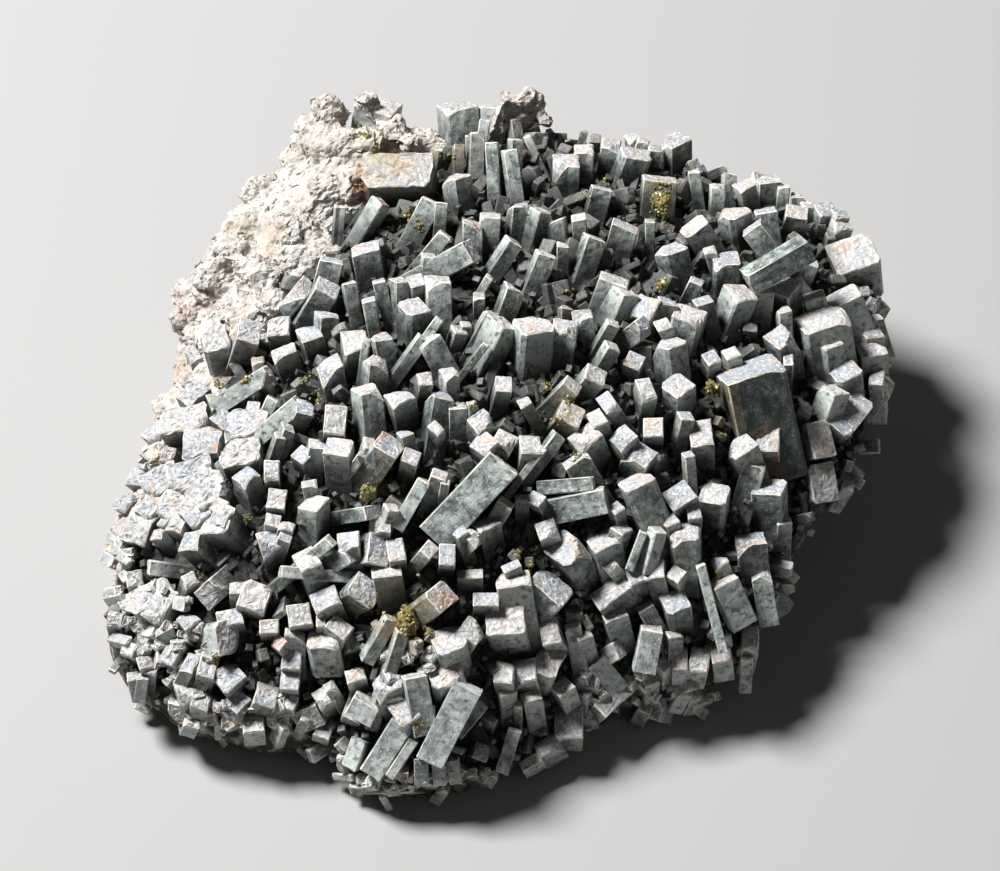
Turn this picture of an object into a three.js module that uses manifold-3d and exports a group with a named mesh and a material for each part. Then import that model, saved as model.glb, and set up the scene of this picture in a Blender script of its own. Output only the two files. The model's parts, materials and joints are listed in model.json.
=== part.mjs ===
// Uralite crystal cluster: blocky uralite prisms grown over a rough pale rock, with a few knobs of epidote.
// Units are millimetres and +Z is up. The origin is the middle of the flat foot.
import * as THREE from "three";
import { mergeVertices } from "three/addons/utils/BufferGeometryUtils.js";
import Module from "manifold-3d";

const wasm = await Module();
wasm.setup();

// The specimen is a low dome. Its rim and foot are given by their radius every 15 degrees, counted
// anticlockwise from +X, and the rim's height every 45 degrees.
const DOME_HEIGHT = 60;
const DOME_FULLNESS = 0.77;
const RIM_RADIUS = [
  75.5, 81, 87, 80, 76, 72, 73, 76, 81, 81, 75.5, 69.5,
  73, 83, 90, 85, 73.5, 77, 68.5, 61.5, 59.5, 67.5, 65, 67,
];
const FOOT_RADIUS = [
  62, 69, 71, 67, 63, 61, 60, 61, 65, 68, 67, 65,
  69, 76, 81, 73, 64, 70.5, 63, 56, 51, 58, 57, 58,
];
const RIM_HEIGHT = [30, 40, 44, 32, 18, 12, 4, 16];

// How deep the rock and the bed of grown-together crystals lie under the crystal tips.
const ROCK_DEPTH = 13;
const BED_DEPTH = 8;
const PIECE_GAP = 0.45;
const LOWEST_CRYSTAL = 0.8;

// Crystals are placed as they are seen from the front, 50 degrees above the horizon and 1 m away.
// The sight plane faces that direction and passes through the middle of the specimen.
const SIGHT_ELEVATION = THREE.MathUtils.degToRad(50);
const EYE_DISTANCE = 1000;
const SIGHT_CENTRE = new THREE.Vector3(0, 0, 28);
const RIGHT = new THREE.Vector3(1, 0, 0);
const UP = new THREE.Vector3(0, Math.sin(SIGHT_ELEVATION), Math.cos(SIGHT_ELEVATION));
const TOWARDS = new THREE.Vector3(0, -Math.cos(SIGHT_ELEVATION), Math.sin(SIGHT_ELEVATION));

// Longest and shortest run of a crystal behind its cap, how deep its root goes, and how low.
const CRYSTAL_LENGTH = 24;
const SHORTEST_RUN = 4;
const ROOT_DEPTH = BED_DEPTH + 2.5;
const LOWEST_ROOT = 2.5;

// The section size from which a crystal's corners are cut off, and how large the cut is.
const EIGHT_SIDED_FROM = 9;
const CORNER_CUT = 0.17;

// Crystals: [x, y, width, depth, heading, tilt, turn, rise, length]
// x, y: middle of the cap on the sight plane. width, depth: sides of the section.
// heading: which way the crystal points in the view, degrees clockwise from up.
// tilt: degrees between the crystal and the line of sight. turn: degrees about the crystal's own length.
// rise: how far the cap stands above the dome. length: given where the crystal lies free.
const REAR_CRYSTALS = [
  [-8.6, 66.5, 7.5, 6.7, 355, 78, 22], [-1.9, 66.2, 4.6, 3, 0, 86, 12, 0, 22],
  [2.4, 63.4, 2.6, 3.4, 352, 84, 30, 0, 18], [-8.8, 52, 4.4, 4.4, 352, 75, 38],
  [-5.5, 43, 4, 3.4, 0, 72, 0],
  [-1.9, 44.6, 4.2, 3.4, 2, 74, 0], [-5.5, 37, 4.8, 4.4, 62, 72, 0], [-13.3, 47.3, 4.5, 3.8, 28, 80, 0],
  [-27, 37.8, 5.8, 5, 350, 62, 0], [13.2, 55.5, 5.5, 5.6, 0, 62, 0], [16.8, 57.6, 4, 4, 0, 65, 0],
  [22.3, 58.5, 4, 4, 10, 60, 0], [27.3, 56.5, 6, 5, 20, 65, 20], [35, 59.4, 5.6, 4.6, 358, 62, 36, 2],
  [32, 51.8, 7, 4, 5, 78, 5], [4, 46.5, 4.2, 3.5, 5, 74, 20], [20.5, 50, 4.2, 3.5, 15, 74, 10],
  [25.2, 42.4, 5.5, 3.6, 15, 60, 0], [34, 37.6, 5.8, 5, 345, 65, 25], [38.6, 42, 5.6, 5, 325, 58, 0],
  [9.3, 36.5, 4, 3.6, 22, 74, 15], [19, 39.8, 4.2, 3.6, 18, 78, 20], [43.6, 50.5, 3.2, 3, 2, 76, 5],
  [48.7, 50.3, 3.8, 4, 345, 55, 20], [53.5, 51.5, 5, 4.6, 0, 65, 15], [46.8, 45.2, 6, 5.2, 350, 60, 36],
  [50.2, 41.8, 4.6, 4, 322, 78, -15], [53, 45.5, 4.5, 4, 350, 74, 0], [59.5, 45, 4.6, 4.4, 10, 50, 0],
  [65.3, 45.6, 4.5, 4.2, 10, 50, 30], [68.6, 42.6, 4, 3.6, 20, 58, 30],
  [45.2, 35.9, 5.4, 6, 0, 60, 5], [-4.5, 60.3, 3.4, 3, 0, 80, 8, 0.5],
  [-0.2, 60, 3.4, 3, 0, 80, 4], [4.4, 59.6, 2.8, 2.8, 0, 80, 10], [29, 58.9, 6.4, 3, 8, 62, 8],
  [44.6, 51.4, 5.6, 3, 2, 74, 6], [60.8, 47.4, 6, 3.2, 5, 60, 8],
];
const LEFT_CRYSTALS = [
  [-57.3, 20.5, 5, 5.4, 355, 60, 8], [-50, 21.8, 4.6, 5.8, 20, 35, 10],
  [-44.4, 22.2, 4.6, 4.6, 350, 30, -10],
  [-43.5, 17.3, 5, 3.6, 340, 55, 0], [-50.5, 2.3, 6, 4.4, 10, 34, 20], [-60.5, -1.8, 6, 5, 5, 44, 20],
  [-61, -8.5, 7.6, 8.4, 0, 24, 5, -1], [-69, -9.6, 6, 6, 340, 30, 20, -1], [-51.6, -3, 6, 5.6, 10, 22, 10],
  [-51.1, -7.4, 4.2, 4.2, 345, 58, 30], [-57, -17.3, 5, 6.2, 315, 50, 42],
  [-62.3, -20.7, 4.6, 4.8, 315, 54, 40], [-74, -19, 5.5, 6, 302, 42, 20], [-77, -22, 3.8, 4, 300, 60, 20],
  [-73.1, -28.5, 3.4, 3.3, 350, 20, 0], [-70, -31.6, 8.6, 5.6, 335, 38, 0],
  [-58.3, -32, 4.6, 5, 228, 34, 0],
  [-49, -32, 5.8, 6, 10, 18, -10], [-46.3, -20.7, 4.2, 4.2, 350, 34, 10],
  [-54.4, -40.3, 6.6, 5.2, 78, 30, 0],
  [-54.2, -36.1, 5.2, 3.6, 350, 30, 0, -0.5], [-46.6, -51.8, 4.6, 4.8, 30, 28, 15],
  [-54.4, -48, 5.4, 5.2, 340, 22, 20], [-58.3, -45.6, 3.6, 5.4, 15, 28, 0], [-62.3, -50.5, 5, 5, 0, 28, 20],
  [-64.6, -56, 4.4, 4.6, 200, 30, 10], [-49.4, -57.2, 4.2, 4.4, 0, 24, 5],
  [-38.4, -57, 5.4, 4.8, 190, 22, 35],
  [-74.3, -33.4, 3.4, 3.2, 300, 34, 10], [-74.8, -42.4, 3, 3.6, 310, 40, 20],
  [-76.8, -26.8, 4.6, 4.6, 300, 45, 10], [-75.6, -36.6, 4.4, 4.4, 300, 40, 20],
  [-74.4, -44.6, 4.2, 4.4, 310, 45, 10], [-72.4, -52, 4.4, 4.4, 300, 40, 15],
];
const MIDDLE_CRYSTALS = [
  [-34.3, 29.8, 5, 4.4, 32, 56, 10], [-38.2, 20.7, 4.5, 4.6, 345, 54, 10], [-29, 19.4, 5, 5.6, 0, 52, 10],
  [-24, 20.1, 4, 4.6, 350, 68, 15], [-17.3, 26.2, 5.2, 6, 0, 58, 28],
  [-12.5, 31.8, 5, 5, 358, 75, 5, 1, 24],
  [-14.4, 19.6, 5, 4, 332, 74, 0], [-24.7, 15.3, 4.3, 4.2, 6, 68, 22], [-34.2, 14.4, 4.8, 4.6, 350, 62, 10],
  [-26.7, 9.5, 4.8, 5, 355, 74, 24], [-20.2, 8.2, 5, 4.8, 350, 45, 20], [-11.8, 8.4, 4.4, 4.2, 10, 72, 24],
  [-32.9, 3.2, 4.4, 6.2, 10, 22, 5], [0.6, 22.7, 4.5, 5.6, 25, 72, 48],
  [6.8, 22.3, 7.2, 6.6, 5, 57, 24, 1, 24], [13.2, 22.7, 5, 4.6, 8, 63, 0], [3, 30, 4, 3.6, 20, 76, 20],
  [23, 31.4, 6, 4, 20, 66, 0], [25, 29.4, 4, 5.6, 22, 75, 40], [28.8, 26.1, 5.2, 5.2, 340, 38, 45],
  [38, 24.6, 6.2, 5.4, 10, 56, -12], [19.4, 12.3, 4.4, 4, 40, 48, 20], [34, 18.6, 5.6, 5.6, 352, 64, 30],
  [35.5, 10.3, 5.2, 5.2, 355, 42, 40], [14.3, 4.4, 5, 4.6, 35, 30, 10], [-32.4, -1.9, 5.2, 5, 355, 52, -15],
  [-22, -1.8, 5.4, 6.4, 35, 52, 0], [-3.3, -1.3, 4.2, 4.6, 345, 32, 30],
  [1.2, -5, 6.9, 5.6, 43, 84, 0, 1, 20],
  [-24, -22.8, 6.2, 4.6, 75, 26, -26], [-22.8, -26.9, 5.8, 3.3, 350, 54, 0, -0.5],
  [-38.8, -24.4, 4.4, 4.8, 345, 45, 15], [-37.3, -13, 4.8, 4.3, 0, 48, -37],
  [-35.1, -32.5, 5.4, 4.3, 340, 32, 2], [-26.9, -31, 6.2, 5.4, 60, 30, 27], [-11.4, -32, 5, 6, 52, 40, 0],
  [-3.2, -17, 5, 4.6, 350, 50, 30, -3], [2.5, -28.4, 6.8, 3.8, 350, 56, 0],
];
const RIGHT_CRYSTALS = [
  [6.2, -1.5, 4.2, 4.7, 12, 44, 15], [16.9, 0, 5.7, 4.6, 335, 38, 15], [24.5, 0, 4.4, 4.5, 345, 42, 24],
  [28.3, -3.5, 5.4, 4.7, 22, 36, -14], [27, -8.6, 6.4, 5.2, 337, 63, 10],
  [35.7, -11.8, 5.5, 4.7, 330, 24, 5],
  [21.8, -12.6, 5, 4, 78, 80, 10, 0, 13], [12.8, -22.3, 6, 7, 330, 40, 22],
  [20.6, -20.4, 6, 5.2, 345, 48, 15],
  [27.2, -27.4, 4, 4.6, 0, 32, 20], [22, -31, 7.8, 4.5, 325, 32, 0], [37, -19, 5.8, 5.4, 355, 54, -8],
  [35, -33, 5, 5.2, 350, 34, 15], [10.8, -29.8, 8.2, 6.2, 42, 46, 0], [40.2, 0.8, 4.6, 6.4, 355, 36, 0],
  [48, -1.8, 5.8, 4.5, 340, 48, 20], [47, 22.6, 6.4, 6, 222, 82, -25, 0, 12],
  [49.4, 30.6, 4.6, 5, 240, 84, -25, 0.5, 14], [70.6, 36.7, 9.4, 8.4, 350, 34, 10],
  [52.4, 29.8, 4.2, 4.3, 5, 62, 15], [57, 30, 5, 5, 350, 45, 45], [64.3, 23.8, 10, 7.6, 350, 62, 14, 1],
  [67.5, 27.6, 9, 5.2, 335, 60, 5], [65.8, 18.8, 4.4, 4.2, 350, 63, 25], [56, 20, 4.8, 5.5, 345, 45, 25],
  [49.7, 13.8, 12.6, 9.4, 347, 67, 12, 2], [69, 13.1, 5.8, 5.3, 350, 48, 20], [67, 9.4, 4.6, 5, 18, 72, 45],
  [70.3, 4.6, 5.6, 10.2, 40, 26, 0], [74.4, 21.4, 4.2, 4.2, 5, 56, 25], [74.3, 17.6, 5.6, 5, 355, 50, 10],
  [75.3, 11.7, 3, 4, 350, 40, -15], [53.5, -0.2, 4.7, 6, 350, 28, -12], [64.6, -0.7, 7.4, 5.6, 75, 30, -5],
  [65, -9.4, 7.8, 6, 80, 30, 0], [53.8, -10.1, 6.2, 5.6, 355, 53, -20], [42.9, -11.5, 5.4, 5.4, 0, 38, -16],
  [50, -20.3, 6, 4.8, 355, 57, 5], [44.4, -28.6, 4.6, 4, 335, 62, 10],
  [61.5, 35.4, 4.6, 4.4, 20, 60, 10, -1.5],
];
const FRONT_CRYSTALS = [
  [-32, -38.2, 4.8, 4, 20, 32, -15], [-35.4, -40.4, 5.8, 3.5, 350, 64, -10],
  [-40.2, -35.8, 4.6, 4.6, 350, 18, 0], [-26.2, -52.6, 5.6, 4.6, 28, 76, 0],
  [-22.9, -49.2, 5.4, 4.7, 340, 42, 0], [-19.5, -54.7, 4.6, 6.5, 325, 28, 0],
  [-10.4, -40.6, 6.2, 6.2, 350, 38, 15], [-10.9, -47, 6.8, 6.6, 350, 30, 5],
  [-5.3, -38.8, 4.8, 4.6, 35, 32, -3], [1, -36.6, 7.6, 6.8, 345, 28, -10],
  [-14, -65, 5.6, 4.2, 207, 106, 0, 0.5, 17], [-25.8, -67.6, 4.6, 4, 212, 104, 0, 0.5, 12],
  [9.7, -39, 3.7, 5.3, 320, 26, -26], [9.8, -45, 5.2, 6.8, 20, 30, -5],
  [4.7, -46.8, 4.8, 4.8, 345, 28, -10],
  [0.8, -47, 3.8, 5, 350, 30, -15], [23.6, -51.8, 3.6, 10.6, 48, 24, 0], [13.8, -57, 5.6, 7.2, 5, 24, 5],
  [9.4, -61.9, 5, 3.4, 330, 26, 0], [6, -65.2, 4.4, 2.4, 330, 26, 0],
  [30.4, -38, 4.4, 4.2, 10, 78, 5, 0, 9],
  [40, -44.6, 4, 5, 10, 30, 0], [-36, -61, 3.4, 3, 200, 60, 0, -1],
];

// The back and the far sides have the same crystals as the front, set by rule.
const BACK_CRYSTAL_COUNT = 28;
const BACK_FROM_ANGLE = 8;
const BACK_TO_ANGLE = 172;

// Blocks of rock and of rock-bound crystal on the bare slope, in the same form as the crystals.
const ROCK_BLOCKS = [
  [-27.3, 68.2, 4.4, 4.2, 335, 55, 35, 1], [-23.5, 53.4, 13, 7, 12, 58, 4, 0],
  [-18.6, 60, 4.2, 4.6, 352, 50, 40, 0],
  [-36.5, 63.4, 7, 6, 345, 50, 25, 0], [-30, 58, 6, 5, 10, 45, 30, 0], [4.2, 67.6, 8.4, 5, 24, 66, 20, 1.8],
  [8.2, 64, 4.4, 4, 60, 60, 20, 1.4],
];
// Rounded-off lumps of rock: [x, y, radius, stretch], half sunk in the slope and the rim.
const ROCK_LUMPS = [
  [-33, 63.6, 3.8, 1.1], [-22, 63.6, 3.2, 1.1], [-33.5, 59, 5.4, 1.2], [-40.5, 54, 5, 1.1],
  [-47.4, 48.4, 5.6, 1.1], [-51.4, 39.8, 5.2, 1.2], [-56.2, 33, 5, 1.1],
  [-61.4, 28, 4.8, 1.1], [-60.6, 19, 3.8, 1.1], [-61.6, 10.6, 4, 1.2], [-66.4, 4.6, 4.6, 1.1],
  [-68, -4.6, 4.4, 1.2],
  [-70.4, -12, 4, 1.2], [-41, 42, 5, 1.3], [-48.5, 32, 5.4, 1.3], [-35, 49, 4.6, 1.2], [-46, 26.4, 4, 1.3],
  [-54, 24, 4, 1.1], [-13.6, 57, 4, 1.2], [-75, -29.4, 3.8, 1.1], [-73.4, -41, 3.8, 1.1],
  [-70, -53, 4, 1.1],
];
// Where the rock is bare: a straight edge in plan, from the first point to the second, with rock on its left.
const BARE_EDGES = [
  [[-10, 66], [-40, 26]],
  [[-46, 34], [-66, 8]],
];
const BARE_BLEND = 7;

// Knobs of epidote between the crystals: [x, y, radius, lumps] on the sight plane.
const EPIDOTE_KNOBS = [
  [32.2, 46.6, 2.6, 4],
  [32.4, 29.9, 1.5, 2],
  [-26.4, -11.4, 2, 3],
  [-18.6, -37.6, 2.6, 4],
  [42.6, 9.4, 1.7, 3],
];

// Repeatable scatter in place of chance: a number from 0 to 1 for each index.
function scatter(index) {
  const value = Math.sin(index * 12.9898) * 43758.5453;
  return value - Math.floor(value);
}

// Smooth value between evenly spaced samples round the full circle.
function roundTheCircle(samples, angle) {
  const count = samples.length;
  const place = ((angle / (2 * Math.PI)) % 1 + 1) % 1 * count;
  const first = Math.floor(place);
  const t = place - first;
  const at = (k) => samples[(first + k + count) % count];
  const rising = (at(1) - at(-1)) / 2;
  const falling = (at(2) - at(0)) / 2;
  const h = t * t * (3 - 2 * t);
  return at(0) * (1 - h) + at(1) * h + rising * t * (1 - t) * (1 - t) - falling * t * t * (1 - t);
}

// Height of the dome through the crystal tips. Past the rim it falls away steeply.
function domeHeight(x, y) {
  const angle = Math.atan2(y, x);
  const share = Math.hypot(x, y) / roundTheCircle(RIM_RADIUS, angle);
  const rim = roundTheCircle(RIM_HEIGHT, angle);
  if (share >= 1) {
    return rim - (share - 1) * 400;
  }
  return rim + (DOME_HEIGHT - rim) * Math.pow(1 - share * share, DOME_FULLNESS);
}

// 1 where the rock is bare, 0 where crystals cover it.
function bareness(x, y) {
  let most = 0;
  for (const [[ax, ay], [bx, by]] of BARE_EDGES) {
    const length = Math.hypot(bx - ax, by - ay);
    const side = -((bx - ax) * (y - ay) - (by - ay) * (x - ax)) / length;
    most = Math.max(most, THREE.MathUtils.smoothstep(side, -BARE_BLEND / 2, BARE_BLEND / 2));
  }
  return most;
}

// The point on the dome, raised by `rise`, that is seen at (x, y) on the sight plane.
function seenAt(x, y, rise) {
  const point = (towards) => {
    const scale = (EYE_DISTANCE - towards) / EYE_DISTANCE;
    return SIGHT_CENTRE.clone()
      .addScaledVector(RIGHT, x * scale)
      .addScaledVector(UP, y * scale)
      .addScaledVector(TOWARDS, towards);
  };
  const clearance = (towards) => {
    const p = point(towards);
    return p.z - domeHeight(p.x, p.y) - rise;
  };
  let nearest = 0;
  let least = Infinity;
  for (let towards = 90; towards > -100; towards -= 1) {
    const gap = clearance(towards);
    if (gap < least) {
      least = gap;
      nearest = towards;
    }
    if (gap <= 0) {
      let outside = towards + 1;
      let inside = towards;
      for (let step = 0; step < 12; step += 1) {
        const middle = (outside + inside) / 2;
        if (clearance(middle) > 0) outside = middle;
        else inside = middle;
      }
      return point(inside);
    }
  }
  return point(nearest);
}

// A crystal's three directions from its heading, tilt and turn.
function crystalAxes(heading, tilt, turn) {
  const h = THREE.MathUtils.degToRad(heading);
  const t = THREE.MathUtils.degToRad(tilt);
  const r = THREE.MathUtils.degToRad(turn);
  const axis = new THREE.Vector3()
    .addScaledVector(RIGHT, Math.sin(t) * Math.sin(h))
    .addScaledVector(UP, Math.sin(t) * Math.cos(h))
    .addScaledVector(TOWARDS, Math.cos(t));
  const across = new THREE.Vector3()
    .addScaledVector(RIGHT, Math.cos(h))
    .addScaledVector(UP, -Math.sin(h));
  const away = new THREE.Vector3().crossVectors(axis, across);
  const wide = across.clone().multiplyScalar(Math.cos(r)).addScaledVector(away, Math.sin(r));
  const deep = new THREE.Vector3().crossVectors(axis, wide);
  return { axis, wide, deep };
}

// Section of a prism: four sides, or eight where the corners are cut off.
function sectionShape(width, depth, eightSided) {
  const x = width / 2;
  const y = depth / 2;
  const cut = eightSided ? CORNER_CUT * Math.min(width, depth) : 0;
  const shape = new THREE.Shape();
  if (cut === 0) {
    shape.moveTo(-x, -y).lineTo(x, -y).lineTo(x, y).lineTo(-x, y).closePath();
    return shape;
  }
  shape.moveTo(-x + cut, -y).lineTo(x - cut, -y).lineTo(x, -y + cut).lineTo(x, y - cut);
  shape.lineTo(x - cut, y).lineTo(-x + cut, y).lineTo(-x, y - cut).lineTo(-x, -y + cut).closePath();
  return shape;
}

// A prism with its cap's middle at `tip`, running back along its axis. `grow` makes it larger all round.
function prismGeometry(tip, axes, width, depth, length, grow = 0) {
  const eightSided = Math.min(width, depth) >= EIGHT_SIDED_FROM;
  const shape = sectionShape(width + 2 * grow, depth + 2 * grow, eightSided);
  const geometry = new THREE.ExtrudeGeometry(shape, { depth: length + grow, bevelEnabled: false, steps: 1 });
  geometry.translate(0, 0, -length);
  geometry.applyMatrix4(new THREE.Matrix4().makeBasis(axes.wide, axes.deep, axes.axis).setPosition(tip));
  return geometry;
}

function toSolid(geometry) {
  let bare = geometry.clone();
  bare.deleteAttribute("normal");
  bare.deleteAttribute("uv");
  bare = mergeVertices(bare, 1e-4);
  const triangles = [];
  const index = bare.getIndex().array;
  for (let i = 0; i < index.length; i += 3) {
    const [a, b, c] = [index[i], index[i + 1], index[i + 2]];
    if (a !== b && b !== c && c !== a) {
      triangles.push(a, b, c);
    }
  }
  return new wasm.Manifold(new wasm.Mesh({
    numProp: 3,
    vertProperties: Float32Array.from(bare.getAttribute("position").array),
    triVerts: Uint32Array.from(triangles),
  }));
}

function toGeometry(solid) {
  const mesh = solid.getMesh();
  const geometry = new THREE.BufferGeometry();
  geometry.setAttribute("position", new THREE.BufferAttribute(mesh.vertProperties.slice(), 3));
  geometry.setIndex(new THREE.BufferAttribute(mesh.triVerts.slice(), 1));
  return geometry;
}

function joined(solids) {
  let layer = solids;
  while (layer.length > 1) {
    const next = [];
    for (let i = 0; i < layer.length; i += 2) {
      next.push(i + 1 < layer.length ? layer[i].add(layer[i + 1]) : layer[i]);
    }
    layer = next;
  }
  return layer[0];
}

function largestBody(solid) {
  return solid.decompose().reduce((a, b) => (a.volume() > b.volume() ? a : b));
}

// A solid of rings round the Z axis: a turned blank whose points are then moved to the rings' own outlines.
function ringSolid(rings, segments, grow = 0) {
  const profile = rings.map((_, k) => new THREE.Vector2(k === 0 || k === rings.length - 1 ? 0 : 1, k));
  const blank = new THREE.LatheGeometry(profile, segments);
  blank.deleteAttribute("normal");
  blank.deleteAttribute("uv");
  const geometry = mergeVertices(blank, 1e-4);
  const position = geometry.getAttribute("position");
  for (let i = 0; i < position.count; i += 1) {
    const ring = Math.round(position.getY(i));
    const angle = Math.atan2(position.getX(i), position.getZ(i));
    const centred = Math.hypot(position.getX(i), position.getZ(i)) < 0.5;
    const [x, y, z] = rings[ring](centred ? 0 : angle, Math.round((angle / (2 * Math.PI)) * segments));
    position.setXYZ(i, x, y, z);
  }
  if (grow > 0) {
    geometry.computeVertexNormals();
    const normal = geometry.getAttribute("normal");
    const outwards = Math.sign(signedVolume(geometry));
    for (let i = 0; i < position.count; i += 1) {
      position.setXYZ(
        i,
        position.getX(i) + outwards * grow * normal.getX(i),
        position.getY(i) + outwards * grow * normal.getY(i),
        position.getZ(i) + outwards * grow * normal.getZ(i),
      );
    }
  }
  if (signedVolume(geometry) < 0) {
    const index = geometry.getIndex();
    for (let i = 0; i < index.count; i += 3) {
      const second = index.getX(i + 1);
      index.setX(i + 1, index.getX(i + 2));
      index.setX(i + 2, second);
    }
  }
  return toSolid(geometry);
}

function signedVolume(geometry) {
  const position = geometry.getAttribute("position");
  const index = geometry.getIndex();
  const [a, b, c] = [new THREE.Vector3(), new THREE.Vector3(), new THREE.Vector3()];
  let total = 0;
  for (let i = 0; i < index.count; i += 3) {
    a.fromBufferAttribute(position, index.getX(i));
    b.fromBufferAttribute(position, index.getX(i + 1));
    c.fromBufferAttribute(position, index.getX(i + 2));
    total += a.dot(b.clone().cross(c)) / 6;
  }
  return total;
}

// Rock: flat foot, rough wall, and a top that is bare on one slope and deep under the crystals elsewhere.
const ROCK_SEGMENTS = 32;
const ROCK_TOP_SHARES = [0.9, 0.76, 0.6, 0.42, 0.22];
const ROCK_ROUGHNESS = 1.5;

function rockRadius(angle) {
  const rim = roundTheCircle(RIM_RADIUS, angle);
  const bare = bareness(rim * Math.cos(angle), rim * Math.sin(angle));
  return rim - 5 * (1 - bare);
}

function rockRings(grow) {
  const rough = (ring, segment, size) => {
    const chance = scatter(ring * 97 + ((segment + 200) % ROCK_SEGMENTS) * 13 + 5);
    return (chance - 0.5) * 2 * size;
  };
  const polar = (radius, angle, z) => [radius * Math.cos(angle), radius * Math.sin(angle), z];
  const topAt = (x, y) => {
    const height = domeHeight(x * 0.995, y * 0.995);
    const bare = bareness(x, y);
    const depth = Math.min(ROCK_DEPTH, 0.5 * height) * (1 - bare) + 1.5 * bare;
    return height - depth;
  };
  const rings = [
    () => [0, 0, 0],
    (angle) => polar(roundTheCircle(FOOT_RADIUS, angle), angle, 0),
  ];
  for (const share of [0.35, 0.7]) {
    rings.push((angle, segment) => {
      const top = topAt(rockRadius(angle) * Math.cos(angle), rockRadius(angle) * Math.sin(angle));
      const foot = roundTheCircle(FOOT_RADIUS, angle);
      const even = foot + (rockRadius(angle) - foot) * Math.pow(share, 0.8);
      const radius = even + rough(rings.length * share, segment, ROCK_ROUGHNESS);
      return polar(radius, angle, Math.max(0.6, top * share));
    });
  }
  rings.push((angle, segment) => {
    const radius = rockRadius(angle) + rough(4, segment, 0.8);
    const [x, y] = polar(radius, angle, 0);
    return [x, y, Math.max(1.2, topAt(x, y))];
  });
  ROCK_TOP_SHARES.forEach((share, k) => {
    rings.push((angle, segment) => {
      const radius = rockRadius(angle) * share;
      const [x, y] = polar(radius, angle, 0);
      return [x, y, topAt(x, y) + rough(7 + k, segment, ROCK_ROUGHNESS * 0.8)];
    });
  });
  rings.push(() => [0, 0, topAt(0, 0)]);
  return rings;
}

// Bed: the layer of grown-together crystal bases between the rock and the free prisms.
const BED_SEGMENTS = 24;
const BED_SHARES = [0.84, 0.62, 0.36];

function bedRings() {
  const polar = (radius, angle, z) => [radius * Math.cos(angle), radius * Math.sin(angle), z];
  const rimAt = (angle) => {
    const rim = roundTheCircle(RIM_RADIUS, angle);
    const bare = bareness(rim * Math.cos(angle), rim * Math.sin(angle));
    return { radius: rim - 2 - 8 * bare, height: roundTheCircle(RIM_HEIGHT, angle) };
  };
  const rings = [
    () => [0, 0, 1],
    (angle) => polar(
      (roundTheCircle(FOOT_RADIUS, angle) + rimAt(angle).radius) / 2 - 4,
      angle,
      Math.max(1, rimAt(angle).height - 13),
    ),
    (angle) => polar(rimAt(angle).radius - 1, angle, Math.max(3, rimAt(angle).height - 7)),
    (angle) => polar(rimAt(angle).radius - 1.5, angle, Math.max(4.4, rimAt(angle).height - 2.5)),
  ];
  BED_SHARES.forEach((share) => {
    rings.push((angle) => {
      const radius = rimAt(angle).radius * share;
      const [x, y] = polar(radius, angle, 0);
      return [x, y, domeHeight(x, y) - BED_DEPTH];
    });
  });
  rings.push(() => [0, 0, DOME_HEIGHT - BED_DEPTH]);
  return rings;
}

// How far back a crystal runs from its tip: to the depth of its root, or to where it lies deepest.
function rootRun(tip, axis, longest) {
  let run = SHORTEST_RUN;
  let deepest = -Infinity;
  for (let along = SHORTEST_RUN; along <= longest; along += 0.5) {
    const x = tip.x - axis.x * along;
    const y = tip.y - axis.y * along;
    const z = tip.z - axis.z * along;
    const depth = domeHeight(x, y) - z;
    if (depth > deepest && z > LOWEST_ROOT) {
      deepest = depth;
      run = along;
    }
    if (depth > ROOT_DEPTH) {
      break;
    }
  }
  return run;
}

function rowPrism(row, grow = 0) {
  const [x, y, width, depth, heading, tilt, turn, rise = 0, length] = row;
  const axes = crystalAxes(heading, tilt, turn);
  const tip = seenAt(x, y, rise);
  const run = length ?? rootRun(tip, axes.axis, CRYSTAL_LENGTH);
  return toSolid(prismGeometry(tip, axes, width, depth, run, grow));
}

// A lump of rock: a twelve-sided body, stretched and turned.
function rockLump(row, index, grow = 0) {
  const [x, y, radius, stretch] = row;
  const centre = seenAt(x, y, -radius * 0.55);
  const lump = new THREE.DodecahedronGeometry(radius + grow * 1.2);
  lump.rotateX(index * 1.3);
  lump.rotateZ(index * 2.1);
  lump.scale(stretch, 1, 0.85);
  lump.rotateZ(index * 0.9);
  lump.translate(centre.x, centre.y, centre.z);
  return toSolid(lump);
}

// Crystals of the back: spread evenly over the hidden rim and wall, pointing out from the middle.
function backPrism(k) {
  const share = (k + 0.5) / BACK_CRYSTAL_COUNT;
  const degrees = BACK_FROM_ANGLE + (BACK_TO_ANGLE - BACK_FROM_ANGLE) * ((k * 0.618034) % 1);
  const angle = THREE.MathUtils.degToRad(degrees);
  const rim = roundTheCircle(RIM_RADIUS, angle);
  const height = roundTheCircle(RIM_HEIGHT, angle) * (1.02 - 0.55 * share);
  const radius = rim + 0.5 - 7 * share;
  const tip = new THREE.Vector3(radius * Math.cos(angle), radius * Math.sin(angle), height);
  const lean = THREE.MathUtils.degToRad(62 - 50 * share + 24 * (scatter(k * 3) - 0.5));
  const aim = angle + (scatter(k * 3 + 1) - 0.5) * 0.9;
  const flat = Math.cos(lean);
  const axis = new THREE.Vector3(Math.cos(aim) * flat, Math.sin(aim) * flat, Math.sin(lean));
  const wide = new THREE.Vector3(-Math.sin(aim), Math.cos(aim), 0);
  wide.applyAxisAngle(axis, (scatter(k * 3 + 2) - 0.5) * 1.4);
  const deep = new THREE.Vector3().crossVectors(axis, wide);
  const width = 3.4 + 3 * scatter(k * 5 + 4);
  const depth = width * (0.75 + 0.3 * scatter(k * 5 + 2));
  return toSolid(prismGeometry(tip, { axis, wide, deep }, width, depth, 15));
}

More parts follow.
